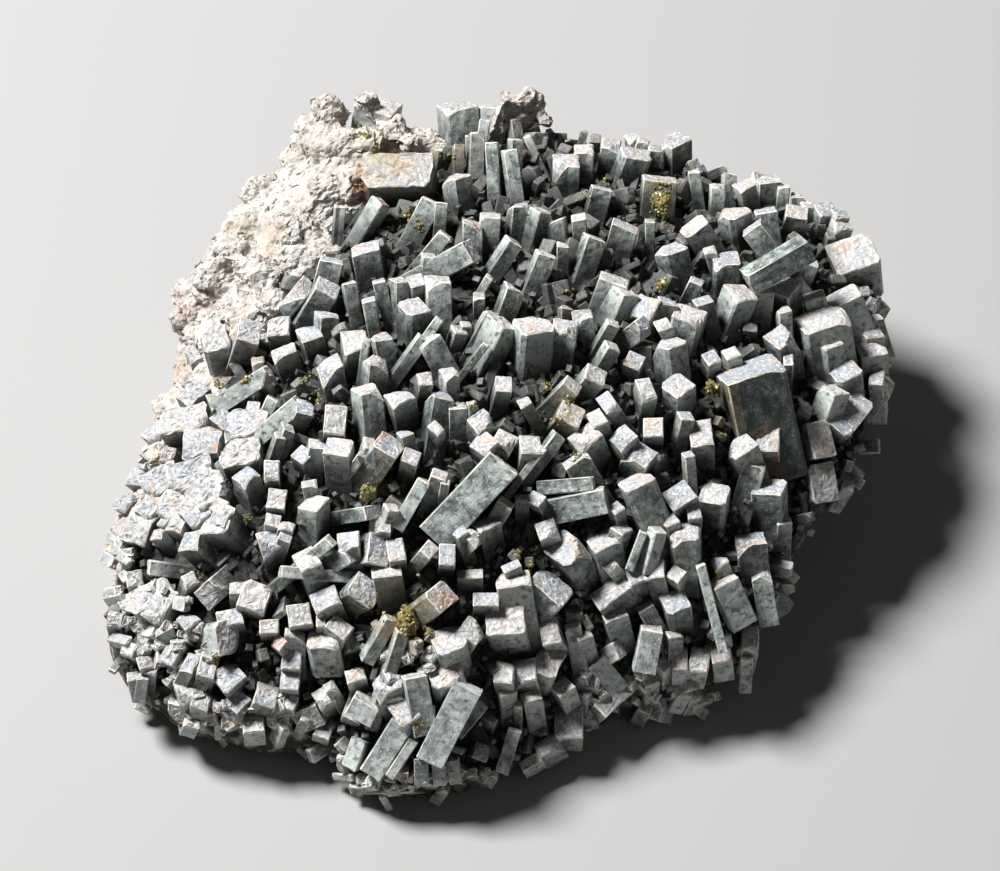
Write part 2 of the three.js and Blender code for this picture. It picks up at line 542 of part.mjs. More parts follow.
// A knob of epidote: a few rounded lumps side by side.
function epidoteKnob(row, index, grow) {
  const [x, y, radius, lumps] = row;
  const centre = seenAt(x, y, -radius * 0.4);
  const parts = [];
  for (let k = 0; k < lumps; k += 1) {
    const size = radius * (0.72 + 0.28 * scatter(index * 11 + k)) + grow;
    const lump = new THREE.IcosahedronGeometry(size, 0);
    const turn = (2 * Math.PI * k) / lumps + index;
    const spread = lumps > 1 ? radius * 0.62 : 0;
    lump.rotateZ(index * 0.7 + k);
    lump.translate(
      centre.x + spread * Math.cos(turn),
      centre.y + spread * 0.8 * Math.sin(turn),
      centre.z + spread * 0.5 * Math.cos(turn * 1.7),
    );
    parts.push(toSolid(lump));
  }
  return joined(parts);
}

function rockSolid(grow) {
  return joined([
    ringSolid(rockRings(), ROCK_SEGMENTS, grow),
    ...ROCK_BLOCKS.map((row) => rowPrism(row, grow)),
    ...ROCK_LUMPS.map((row, k) => rockLump(row, k, grow)),
  ]);
}

const rock = rockSolid(0).trimByPlane([0, 0, 1], 0);
const rockSpace = rockSolid(PIECE_GAP);

const CRYSTAL_ROWS = [
  ...REAR_CRYSTALS, ...LEFT_CRYSTALS, ...MIDDLE_CRYSTALS, ...RIGHT_CRYSTALS, ...FRONT_CRYSTALS,
];
const prisms = CRYSTAL_ROWS.map((row) => rowPrism(row));
for (let k = 0; k < BACK_CRYSTAL_COUNT; k += 1) {
  prisms.push(backPrism(k));
}
const epidoteSpace = joined(EPIDOTE_KNOBS.map((row, k) => epidoteKnob(row, k, PIECE_GAP)));
const crust = joined([ringSolid(bedRings(), BED_SEGMENTS), ...prisms])
  .trimByPlane([0, 0, 1], LOWEST_CRYSTAL)
  .subtract(rockSpace)
  .subtract(epidoteSpace);
const epidote = EPIDOTE_KNOBS.map((row, k) => epidoteKnob(row, k, 0));

const matrixFinish = new THREE.MeshStandardMaterial({ color: 0xb7a894, roughness: 0.95, metalness: 0 });
const crystalFinish = new THREE.MeshStandardMaterial({ color: 0x7f8a82, roughness: 0.7, metalness: 0 });
const epidoteFinish = new THREE.MeshStandardMaterial({ color: 0x8a7a2c, roughness: 0.6, metalness: 0 });

function namedMesh(name, solid, material) {
  const mesh = new THREE.Mesh(toGeometry(solid), material);
  mesh.name = name;
  return mesh;
}

const specimen = new THREE.Group();
specimen.add(namedMesh("matrix", largestBody(rock), matrixFinish));
specimen.add(namedMesh("crystal_crust", largestBody(crust), crystalFinish));
epidote.forEach((solid, k) => {
  specimen.add(namedMesh(`epidote_knob_${k + 1}`, largestBody(solid.subtract(rockSpace)), epidoteFinish));
});

// The middle of the foot's outline box becomes the origin.
const box = new THREE.Box3().setFromObject(specimen);
specimen.position.set(-(box.min.x + box.max.x) / 2, -(box.min.y + box.max.y) / 2, -box.min.z);
specimen.updateMatrixWorld(true);

export default specimen;
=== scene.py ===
import itertools
import json
import math
import bpy
import numpy as np
from mathutils import Matrix, Vector, noise
from mathutils.bvhtree import BVHTree

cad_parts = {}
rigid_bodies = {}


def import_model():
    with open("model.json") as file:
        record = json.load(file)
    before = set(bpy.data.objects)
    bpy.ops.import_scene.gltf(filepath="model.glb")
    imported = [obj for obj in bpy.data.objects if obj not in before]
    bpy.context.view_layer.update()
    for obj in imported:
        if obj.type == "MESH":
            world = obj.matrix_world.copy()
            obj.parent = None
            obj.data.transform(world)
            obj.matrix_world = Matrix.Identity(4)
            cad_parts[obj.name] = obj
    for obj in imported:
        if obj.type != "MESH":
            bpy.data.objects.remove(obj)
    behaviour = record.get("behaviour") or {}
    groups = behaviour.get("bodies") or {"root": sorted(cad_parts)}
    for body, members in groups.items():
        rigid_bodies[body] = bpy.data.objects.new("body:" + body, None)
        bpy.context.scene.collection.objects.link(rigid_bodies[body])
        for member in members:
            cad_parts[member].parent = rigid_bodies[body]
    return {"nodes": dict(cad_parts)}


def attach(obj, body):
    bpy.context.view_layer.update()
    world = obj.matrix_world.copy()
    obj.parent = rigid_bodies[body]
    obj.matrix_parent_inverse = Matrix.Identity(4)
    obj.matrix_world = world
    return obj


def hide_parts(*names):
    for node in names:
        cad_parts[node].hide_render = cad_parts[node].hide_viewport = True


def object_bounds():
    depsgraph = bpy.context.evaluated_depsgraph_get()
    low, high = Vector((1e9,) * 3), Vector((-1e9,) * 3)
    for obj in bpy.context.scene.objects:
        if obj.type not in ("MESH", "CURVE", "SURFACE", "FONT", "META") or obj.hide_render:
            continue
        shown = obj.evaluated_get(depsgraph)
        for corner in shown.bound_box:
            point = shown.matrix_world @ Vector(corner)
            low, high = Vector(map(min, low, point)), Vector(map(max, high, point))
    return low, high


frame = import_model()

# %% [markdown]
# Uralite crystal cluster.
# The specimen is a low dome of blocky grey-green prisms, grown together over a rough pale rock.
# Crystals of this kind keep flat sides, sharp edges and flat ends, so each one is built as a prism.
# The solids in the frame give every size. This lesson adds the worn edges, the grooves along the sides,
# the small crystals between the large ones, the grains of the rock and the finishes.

cad_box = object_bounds()
MM = 0.001
# The frame's origin is the middle of the foot's box; the dome is laid out round its own middle.
DOME_MIDDLE = Vector((-0.256, -2.015, 0.0))


def to_frame(point):
    """A place in mm round the dome's middle, as a place in the frame in metres."""
    return (point + DOME_MIDDLE) * MM


print("solids' box in mm:", [[round(v / MM, 1) for v in corner] for corner in cad_box])

# %% [markdown]
# The dome.
# The tips of the crystals reach a smooth, low dome, although each crystal points its own way.
# A dome could be modelled by hand, but here a short rule gives its height anywhere, from the radius of
# the rim every 15 degrees and the height of the rim every 45 degrees. Everything else asks this rule.

# %% The dome's outline and height
DOME_HEIGHT = 60
DOME_FULLNESS = 0.77
BED_DEPTH = 8
RIM_RADIUS = [
    75.5, 81, 87, 80, 76, 72, 73, 76, 81, 81, 75.5, 69.5,
    73, 83, 90, 85, 73.5, 77, 68.5, 61.5, 59.5, 67.5, 65, 67,
]
FOOT_RADIUS = [
    62, 69, 71, 67, 63, 61, 60, 61, 65, 68, 67, 65,
    69, 76, 81, 73, 64, 70.5, 63, 56, 51, 58, 57, 58,
]
RIM_HEIGHT = [30, 40, 44, 32, 18, 12, 4, 16]
BARE_EDGES = [
    ((-10, 66), (-40, 26)),
    ((-46, 34), (-66, 8)),
]
BARE_BLEND = 7
RIM_FALL = 400


def smoothstep(value, low, high):
    """0 up to `low`, 1 from `high` on, and a smooth rise between them."""
    share = min(1.0, max(0.0, (value - low) / (high - low)))
    return share * share * (3 - 2 * share)


def round_the_circle(samples, angle):
    """Smooth value between evenly spaced samples round the full circle."""
    count = len(samples)
    place = (angle / (2 * math.pi)) % 1.0 * count
    first = int(place)
    t = place - first
    before, here, after, beyond = (samples[(first + k) % count] for k in (-1, 0, 1, 2))
    blend = t * t * (3 - 2 * t)
    rising = (after - before) / 2
    falling = (beyond - here) / 2
    return here * (1 - blend) + after * blend + rising * t * (1 - t) ** 2 - falling * t * t * (1 - t)


def dome_height(x, y):
    """Height of the dome through the crystal tips, in mm. It falls away steeply past the rim."""
    angle = math.atan2(y, x)
    share = math.hypot(x, y) / round_the_circle(RIM_RADIUS, angle)
    rim = round_the_circle(RIM_HEIGHT, angle)
    if share >= 1:
        return rim - (share - 1) * RIM_FALL
    return rim + (DOME_HEIGHT - rim) * (1 - share * share) ** DOME_FULLNESS


def wall_room(point):
    """How far a point lies inside the side of the specimen, in mm; below 0 it is outside."""
    angle = math.atan2(point.y, point.x)
    share = min(1.0, max(0.0, point.z / round_the_circle(RIM_HEIGHT, angle)))
    foot, rim = round_the_circle(FOOT_RADIUS, angle), round_the_circle(RIM_RADIUS, angle)
    return foot + (rim - foot) * share - math.hypot(point.x, point.y)


def bareness(x, y):
    """1 where the rock is bare, 0 where crystals cover it."""
    most = 0.0
    for (ax, ay), (bx, by) in BARE_EDGES:
        length = math.hypot(bx - ax, by - ay)
        side = -((bx - ax) * (y - ay) - (by - ay) * (x - ax)) / length
        most = max(most, smoothstep(side, -BARE_BLEND / 2, BARE_BLEND / 2))
    return most


print("dome height at the middle:", dome_height(0, 0))
print("dome height halfway to the front rim:", round(dome_height(0, -34), 1))

# %% [markdown]
# Places as they are seen.
# It is easiest to say where a crystal is by where it is seen from the front, 50 degrees above the horizon.
# A flat sight plane faces that way through the middle of the specimen, and a line from the eye through
# a point on the plane is followed until it meets the dome. The same eye is used for the camera later on.

# %% The sight plane
SIGHT_ELEVATION = math.radians(50)
EYE_DISTANCE = 1000
SIGHT_CENTRE = Vector((0, 0, 28))
RIGHT = Vector((1, 0, 0))
UP = Vector((0, math.sin(SIGHT_ELEVATION), math.cos(SIGHT_ELEVATION)))
TOWARDS = Vector((0, -math.cos(SIGHT_ELEVATION), math.sin(SIGHT_ELEVATION)))
# The search for the dome goes from nearest to farthest in steps of 1 mm, and is then refined.
SEARCH_FROM = 90
SEARCH_TO = -100
HALVINGS = 10


def sight_point(x, y, towards):
    """The place that is seen at (x, y) on the sight plane and lies `towards` mm in front of it."""
    scale = (EYE_DISTANCE - towards) / EYE_DISTANCE
    return SIGHT_CENTRE + RIGHT * (x * scale) + UP * (y * scale) + TOWARDS * towards


def seen_at(x, y, rise=0.0):
    """The point on the dome, raised by `rise`, that is seen at (x, y) on the sight plane."""
    def clearance(towards):
        """How far above the raised dome the eye's line is, at a place that far in front of the plane."""
        point = sight_point(x, y, towards)
        return point.z - dome_height(point.x, point.y) - rise

    nearest, least = 0, math.inf
    for towards in range(SEARCH_FROM, SEARCH_TO, -1):
        gap = clearance(towards)
        if gap < least:
            least, nearest = gap, towards
        if gap <= 0:
            outside, inside = towards + 1.0, float(towards)
            for _ in range(HALVINGS):
                middle = (outside + inside) / 2
                if clearance(middle) > 0:
                    outside = middle
                else:
                    inside = middle
            return sight_point(x, y, inside)
    return sight_point(x, y, nearest)


def crystal_axes(heading, tilt, turn):
    """A crystal's length, width and depth directions."""
    h, t, r = (math.radians(v) for v in (heading, tilt, turn))
    axis = RIGHT * (math.sin(t) * math.sin(h)) + UP * (math.sin(t) * math.cos(h)) + TOWARDS * math.cos(t)
    across = RIGHT * math.cos(h) - UP * math.sin(h)
    wide = across * math.cos(r) + axis.cross(across) * math.sin(r)
    return axis, wide, axis.cross(wide)


print("the middle of the view meets the dome at", tuple(round(v, 1) for v in seen_at(0, 0)), "mm")

# %% [markdown]
# The crystals' places.
# Each crystal of the real specimen differs, so the large and middle-sized ones are listed one by one:
# x and y of the cap's middle on the sight plane, width and depth of the section, heading in the view
# (degrees clockwise from up), tilt from the line of sight, turn about its own length, and where it is
# needed how far the cap stands above the dome and how long the crystal is. All lengths are in mm.

# %% The list of crystals
REAR_CRYSTALS = [
    (-8.6, 66.5, 7.5, 6.7, 355, 78, 22), (-24.4, 66.2, 8.6, 6, 8, 56, -20, 2.5, 8),
    (-1.9, 66.2, 4.6, 3, 0, 86, 12, 0, 22), (2.4, 63.4, 2.6, 3.4, 352, 84, 30, 0, 18),
    (-4.6, 60.8, 3.2, 3, 2, 90, 12, 2.2, 15), (-1.6, 58.6, 2.6, 3, 357, 89, -8, 2.4, 13),
    (1.8, 57.2, 3, 2.6, 352, 88, 14, 2, 12), (-3, 63.2, 2.2, 2.6, 8, 88, 0, 1.4, 12),
    (-8.3, 58, 2.2, 3, 2, 80, 8), (-6.2, 60, 1.6, 2.4, 358, 80, 0),
    (3, 59.3, 2.4, 2.6, 0, 80, 20), (5.3, 60, 1.7, 2, 335, 84, 0), (-8.8, 52, 4.4, 4.4, 352, 75, 38),
    (-5.5, 43, 4, 3.4, 0, 72, 0), (-1.9, 44.6, 4.2, 3.4, 2, 74, 0), (-10.8, 40.3, 3, 2.6, 40, 78, 0),
    (-5.5, 37, 4.8, 4.4, 62, 72, 0), (-13.3, 47.3, 4.5, 3.8, 28, 80, 0), (-11.6, 46.6, 2.6, 3, 5, 72, 0),
    (-23.6, 47, 3.5, 3.2, 32, 76, -30), (-32, 46, 2.2, 2.6, 5, 75, 10), (-27, 37.8, 5.8, 5, 350, 62, 0),
    (13.2, 55.5, 5.5, 5.6, 0, 62, 0), (16.8, 57.6, 4, 4, 0, 65, 0), (22.3, 58.5, 4, 4, 10, 60, 0),
    (27.3, 56.5, 6, 5, 20, 65, 20), (35, 59.4, 5.6, 4.6, 358, 62, 36, 2), (32, 51.8, 7, 4, 5, 78, 5),
    (38.7, 53, 2.5, 3, 350, 72, 0), (15.7, 44.2, 3, 3.5, 355, 65, 0), (8.2, 45.5, 3.4, 3.4, 15, 76, 45),
    (4, 46.5, 4.2, 3.5, 5, 74, 20), (11, 43.5, 4, 3, 350, 72, -15, -2), (20.5, 50, 4.2, 3.5, 15, 74, 10),
    (25.2, 42.4, 5.5, 3.6, 15, 60, 0), (30, 43, 2, 2.5, 0, 74, 0), (34, 37.6, 5.8, 5, 345, 65, 25),
    (38.6, 42, 5.6, 5, 325, 58, 0), (3, 39.3, 3.2, 3.6, 33, 76, 25, 0, 26),
    (9.3, 36.5, 4, 3.6, 22, 74, 15), (12.6, 38.3, 2.5, 2.5, 0, 65, 0, -1),
    (19, 39.8, 4.2, 3.6, 18, 78, 20), (43.6, 50.5, 3.2, 3, 2, 76, 5), (45.8, 52.2, 2.8, 2.6, 0, 76, 10),
    (48.7, 50.3, 3.8, 4, 345, 55, 20), (53.5, 51.5, 5, 4.6, 0, 65, 15), (56.8, 50, 2.6, 3, 5, 70, 0),
    (46.8, 45.2, 6, 5.2, 350, 60, 36), (50.2, 41.8, 4.6, 4, 322, 78, -15), (53, 45.5, 4.5, 4, 350, 74, 0),
    (59.5, 45, 4.6, 4.4, 10, 50, 0), (59.5, 48.2, 2.6, 2.2, 0, 60, 0),
    (65.3, 45.6, 4.5, 4.2, 10, 50, 30), (68.6, 42.6, 4, 3.6, 20, 58, 30),
    (62, 47, 3.6, 3.4, 5, 62, 15), (68.2, 44.6, 3.4, 3.2, 20, 58, 30), (45.2, 35.9, 5.4, 6, 0, 60, 5),
    (41.8, 37.3, 2.5, 2.5, 340, 60, 0), (26.3, 60, 2.6, 2.6, 350, 60, 20),
    (28.8, 59.2, 2.6, 2.4, 20, 62, 0), (31, 57.6, 2.6, 2.4, 10, 60, 10),
]
LEFT_CRYSTALS = [
    (-57.1, 19.8, 5.6, 7, 350, 44, 8, 3), (-50, 21.2, 4.6, 6.2, 22, 40, 10, 1.5),
    (-61.4, 16.6, 2.6, 6, 350, 62, 10, 1.5, 14),
    (-44.4, 22.2, 4.6, 4.6, 350, 30, -10), (-48.5, 15.2, 2.6, 3, 350, 70, 0, -2),
    (-43.5, 17.3, 5, 3.6, 340, 55, 0), (-45.8, 12.6, 3.6, 3.4, 58, 74, 0, 0, 13),
    (-55.3, 3.5, 4, 4, 0, 28, 45), (-49.3, 5.8, 2.5, 2.6, 20, 55, 10),
    (-45.3, 7.5, 2.6, 2.4, 25, 75, 0), (-39.8, 6.8, 3.4, 3.2, 50, 72, 0), (-42.3, 1.7, 2.6, 3, 20, 60, 20),
    (-51.1, -7.4, 4.2, 4.2, 345, 58, 30), (-45.7, -6.7, 3.1, 4.3, 355, 22, -5),
    (-43.9, 0.2, 2.2, 2.4, 20, 62, 20), (-39.6, -3.6, 3.4, 3.4, 350, 30, 40),
    (-44.7, -12.6, 3.7, 4.1, 5, 16, -3), (-56.3, -13.9, 3.2, 3.2, 330, 30, 30),
    (-57, -17.3, 5, 6.2, 315, 50, 42), (-62.3, -20.7, 4.6, 4.8, 315, 54, 40),
    (-68.7, -19.6, 2.8, 3, 312, 56, 40), (-67.3, -16.8, 3, 3, 315, 60, 20),
    (-77, -22, 3.8, 4, 300, 60, 20), (-73.1, -28.5, 3.4, 3.3, 350, 20, 0),
    (-70.8, -26.3, 3, 3, 278, 76, 0), (-70, -31.6, 8.6, 5.6, 335, 38, 0),
    (-62, -28.6, 2.8, 2.8, 20, 30, 45), (-58.3, -32, 4.6, 5, 228, 34, 0), (-49, -32, 5.8, 6, 10, 18, -10),
    (-52.6, -30.4, 3, 2.8, 0, 34, 0, -1), (-46.3, -20.7, 4.2, 4.2, 350, 34, 10),
    (-42.5, -17.9, 3, 2.2, 20, 40, 0), (-42.9, -20.3, 2.6, 2, 20, 40, 0),
    (-45.4, -16.9, 3, 2.8, 10, 35, 0), (-44, -27.2, 2.4, 2.6, 275, 76, 0),
    (-67.8, -35.8, 3.6, 3, 350, 38, 0), (-71, -45.3, 3, 2.8, 350, 30, 10),
    (-67.5, -38.4, 4, 2.4, 340, 50, 0, 0, 7), (-71.3, -48, 2.3, 2.6, 10, 56, 0, -1, 6),
    (-73.5, -48, 2.4, 2.8, 350, 48, 0, -1, 6), (-54.4, -40.3, 6.6, 5.2, 78, 30, 0),
    (-54.2, -36.1, 5.2, 3.6, 350, 30, 0, -0.5), (-46.2, -38.2, 3.8, 2.9, 0, 16, 0),
    (-44.4, -41.3, 2.6, 3, 330, 30, 20), (-41.7, -44.7, 3.9, 4, 5, 16, 0), (-42, -48.8, 3.7, 4, 5, 20, 0),
    (-46.6, -51.8, 4.6, 4.8, 30, 28, 15), (-42.4, -53, 3.4, 3.2, 0, 30, -20, -0.5),
    (-54.4, -48, 5.4, 5.2, 340, 22, 20), (-52.6, -52.8, 4, 4, 0, 22, 45),
    (-58.3, -45.6, 3.6, 5.4, 15, 28, 0), (-61.9, -45.4, 2.6, 4.8, 25, 44, 0, 0, 6),
    (-62.3, -50.5, 5, 5, 0, 28, 20), (-59.5, -52.4, 3.6, 4.6, 10, 30, -10),
    (-64.6, -56, 4.4, 4.6, 200, 30, 10), (-58.4, -57, 3.4, 3, 215, 34, 40),
    (-49.4, -57.2, 4.2, 4.4, 0, 24, 5), (-53.6, -57.3, 4.2, 4, 185, 24, 0),
    (-44.4, -56.4, 4.4, 3.8, 180, 24, 0), (-38.4, -57, 5.4, 4.8, 190, 22, 35),
    (-62.5, -36.5, 3.8, 3.4, 340, 34, 20), (-66.2, -44, 3.6, 3.4, 320, 30, 30),
    (-74.3, -33.4, 3.4, 3.2, 300, 34, 10), (-74.8, -42.4, 3, 3.6, 310, 40, 20),
]
MIDDLE_CRYSTALS = [
    (-34.3, 29.8, 5, 4.4, 32, 56, 10), (-33.5, 35.4, 5, 3.4, 15, 70, 0), (-38.8, 30, 3.5, 4.6, 40, 48, 0),
    (-30.3, 30.7, 2.8, 3, 350, 72, 10), (-26.3, 27.3, 2.8, 3, 350, 74, 0),
    (-24.3, 31, 2.6, 2.8, 345, 76, 0), (-34.6, 24.7, 4, 3.8, 5, 66, 25),
    (-38.2, 20.7, 4.5, 4.6, 345, 54, 10), (-29, 19.4, 5, 5.6, 0, 52, 10), (-24, 20.1, 4, 4.6, 350, 68, 15),
    (-17.3, 26.2, 5.2, 6, 0, 58, 28), (-20.2, 31.6, 3, 4, 0, 76, 25), (-16.8, 31.3, 3.2, 3.8, 355, 48, 15),
    (-12.5, 31.8, 5, 5, 358, 75, 5, 1, 24), (-12, 23.4, 1.9, 2.2, 36, 80, 0, 1, 16),
    (-15.2, 19.6, 2.6, 2.6, 36, 78, 15), (-14.4, 19.6, 5, 4, 332, 74, 0),
    (-24.7, 15.3, 4.3, 4.2, 6, 68, 22), (-26.7, 19.2, 1.7, 2.2, 8, 76, 0),
    (-34.2, 14.4, 4.8, 4.6, 350, 62, 10), (-26.7, 9.5, 4.8, 5, 355, 74, 24),
    (-20.2, 8.2, 5, 4.8, 350, 45, 20), (-14.9, 11.6, 2.8, 3.6, 15, 40, 20),
    (-10.2, 13.3, 3.2, 3.4, 0, 66, 25), (-11.8, 8.4, 4.4, 4.2, 10, 72, 24),
    (-8.6, 6.4, 3.6, 3.4, 0, 66, 10, -1), (-12.7, 1.5, 2.2, 3.1, 0, 30, 45), (-3.7, 3.3, 4, 4, 10, 38, 45),
    (-5.5, 6.4, 2, 2, 0, 50, 20), (-32.9, 3.2, 4.4, 6.2, 10, 22, 5), (-38.8, 6, 3.5, 3.6, 30, 44, 20),
    (-19, 0.6, 2.8, 2.6, 350, 54, 20), (-4.2, 28.2, 2.4, 3, 0, 62, 0, -2),
    (-2, 31.8, 1.8, 2.4, 30, 72, 0, -1.5), (-1.3, 24.9, 3, 3.4, 30, 72, 12),
    (-2.6, 18.4, 1.5, 1.8, 38, 74, 0), (0.6, 22.7, 4.5, 5.6, 25, 72, 48), (-8, 21.5, 3, 3, 20, 60, 30, -2),
    (-6.8, 22.4, 2.2, 2, 10, 60, 20, -2), (0.8, 10.4, 3.2, 4, 15, 38, 12),
    (6.8, 22.3, 7.2, 6.6, 5, 57, 24, 1, 24), (13.2, 22.7, 5, 4.6, 8, 63, 0), (3, 30, 4, 3.6, 20, 76, 20),
    (23, 31.4, 6, 4, 20, 66, 0), (25, 29.4, 4, 5.6, 22, 75, 40), (22.7, 22.6, 2.7, 2.6, 30, 64, 20),
    (28.8, 26.1, 5.2, 5.2, 340, 38, 45), (33.8, 27.3, 3.6, 3.6, 15, 58, 20),
    (39.4, 31, 2.9, 2.2, 25, 50, 0), (40.5, 27.2, 3.7, 3.3, 345, 54, 10),
    (38, 24.6, 6.2, 5.4, 10, 56, -12), (29.3, 22.2, 4, 3.4, 52, 60, 0), (32.4, 22.4, 3, 3.4, 330, 50, 0),
    (22.7, 18.3, 3, 3, 30, 64, 30), (19.4, 12.3, 4.4, 4, 40, 48, 20), (14.7, 10.2, 3.8, 3.4, 45, 54, 10),
    (34, 18.6, 5.6, 5.6, 352, 64, 30), (27, 15.3, 3.6, 3.6, 10, 32, -15, -1.5),
    (29.3, 9.6, 3.1, 5, 8, 40, 25), (35.5, 10.3, 5.2, 5.2, 355, 42, 40), (21.2, 7, 3, 5, 325, 42, 0),
    (30.7, 1.8, 3.9, 4.2, 0, 22, 0), (37.2, 4.1, 2.9, 3.4, 12, 56, 20), (14.3, 4.4, 5, 4.6, 35, 30, 10),
    (19.2, 3.8, 3.2, 4, 340, 38, 10), (4.7, 6.9, 2.5, 3, 330, 50, 0), (13, 26, 2.5, 2.5, 0, 60, 20, -2),
    (16.3, 24.7, 4, 3.6, 350, 66, 0, -1.5), (-14.2, 36.3, 3, 3, 5, 70, 10, -1),
    (-36.3, -1.2, 3.6, 3, 10, 58, 10), (-32.4, -1.9, 5.2, 5, 355, 52, -15),
    (-26, -1.4, 2.4, 3, 20, 50, 20), (-27.6, -4, 1.8, 1.9, 35, 50, 0), (-22, -1.8, 5.4, 6.4, 35, 52, 0),
    (-17.7, -4, 3.4, 3.3, 15, 34, -5), (-3.3, -1.3, 4.2, 4.6, 345, 32, 30),
    (1.2, -5, 6.9, 5.6, 43, 84, 0, 1, 20), (-15, -8.8, 2.8, 3, 30, 76, 0, 0, 11),
    (-12, -7.6, 3.3, 3.3, 20, 52, 0), (-10.9, -9.2, 1.8, 1.6, 10, 50, 0),
    (-21.6, -14.3, 2.6, 3, 20, 50, 30), (-25.3, -15.3, 2.8, 5, 80, 42, 0),
    (-23.8, -17.6, 4.2, 3.3, 15, 36, 10), (-24, -22.8, 6.2, 4.6, 75, 26, -26),
    (-20.8, -22.7, 3.4, 4.8, 0, 34, 10, -1), (-22.8, -26.9, 5.8, 3.3, 350, 54, 0, -0.5),
    (-30.5, -20.6, 4.4, 3.9, 350, 44, -8), (-29.3, -23.3, 3.6, 3.8, 60, 56, 0, -1),
    (-33.7, -20.9, 2.6, 2.6, 50, 66, 0), (-38.8, -24.4, 4.4, 4.8, 345, 45, 15),
    (-37.3, -13, 4.8, 4.3, 0, 48, -37), (-38.2, -9.5, 3, 2.2, 350, 50, 0),
    (-35.1, -32.5, 5.4, 4.3, 340, 32, 2), (-26.9, -31, 6.2, 5.4, 60, 30, 27),
    (-11.4, -32, 5, 6, 52, 40, 0), (-2.8, -32.5, 5, 3, 0, 30, 0, -0.5), (-8, -19.1, 2.6, 2.5, 345, 44, 20),
    (-5.1, -20.2, 3.9, 3.2, 48, 38, 0), (-3.2, -17, 5, 4.6, 350, 50, 30, -3),
    (-10.5, -23.6, 3.2, 4.6, 10, 20, 8), (-14, -22.7, 2.8, 3.4, 40, 34, 0),
    (-6, -27.6, 5, 2.2, 0, 40, 0, -3), (2.5, -28.4, 6.8, 3.8, 350, 56, 0),
]
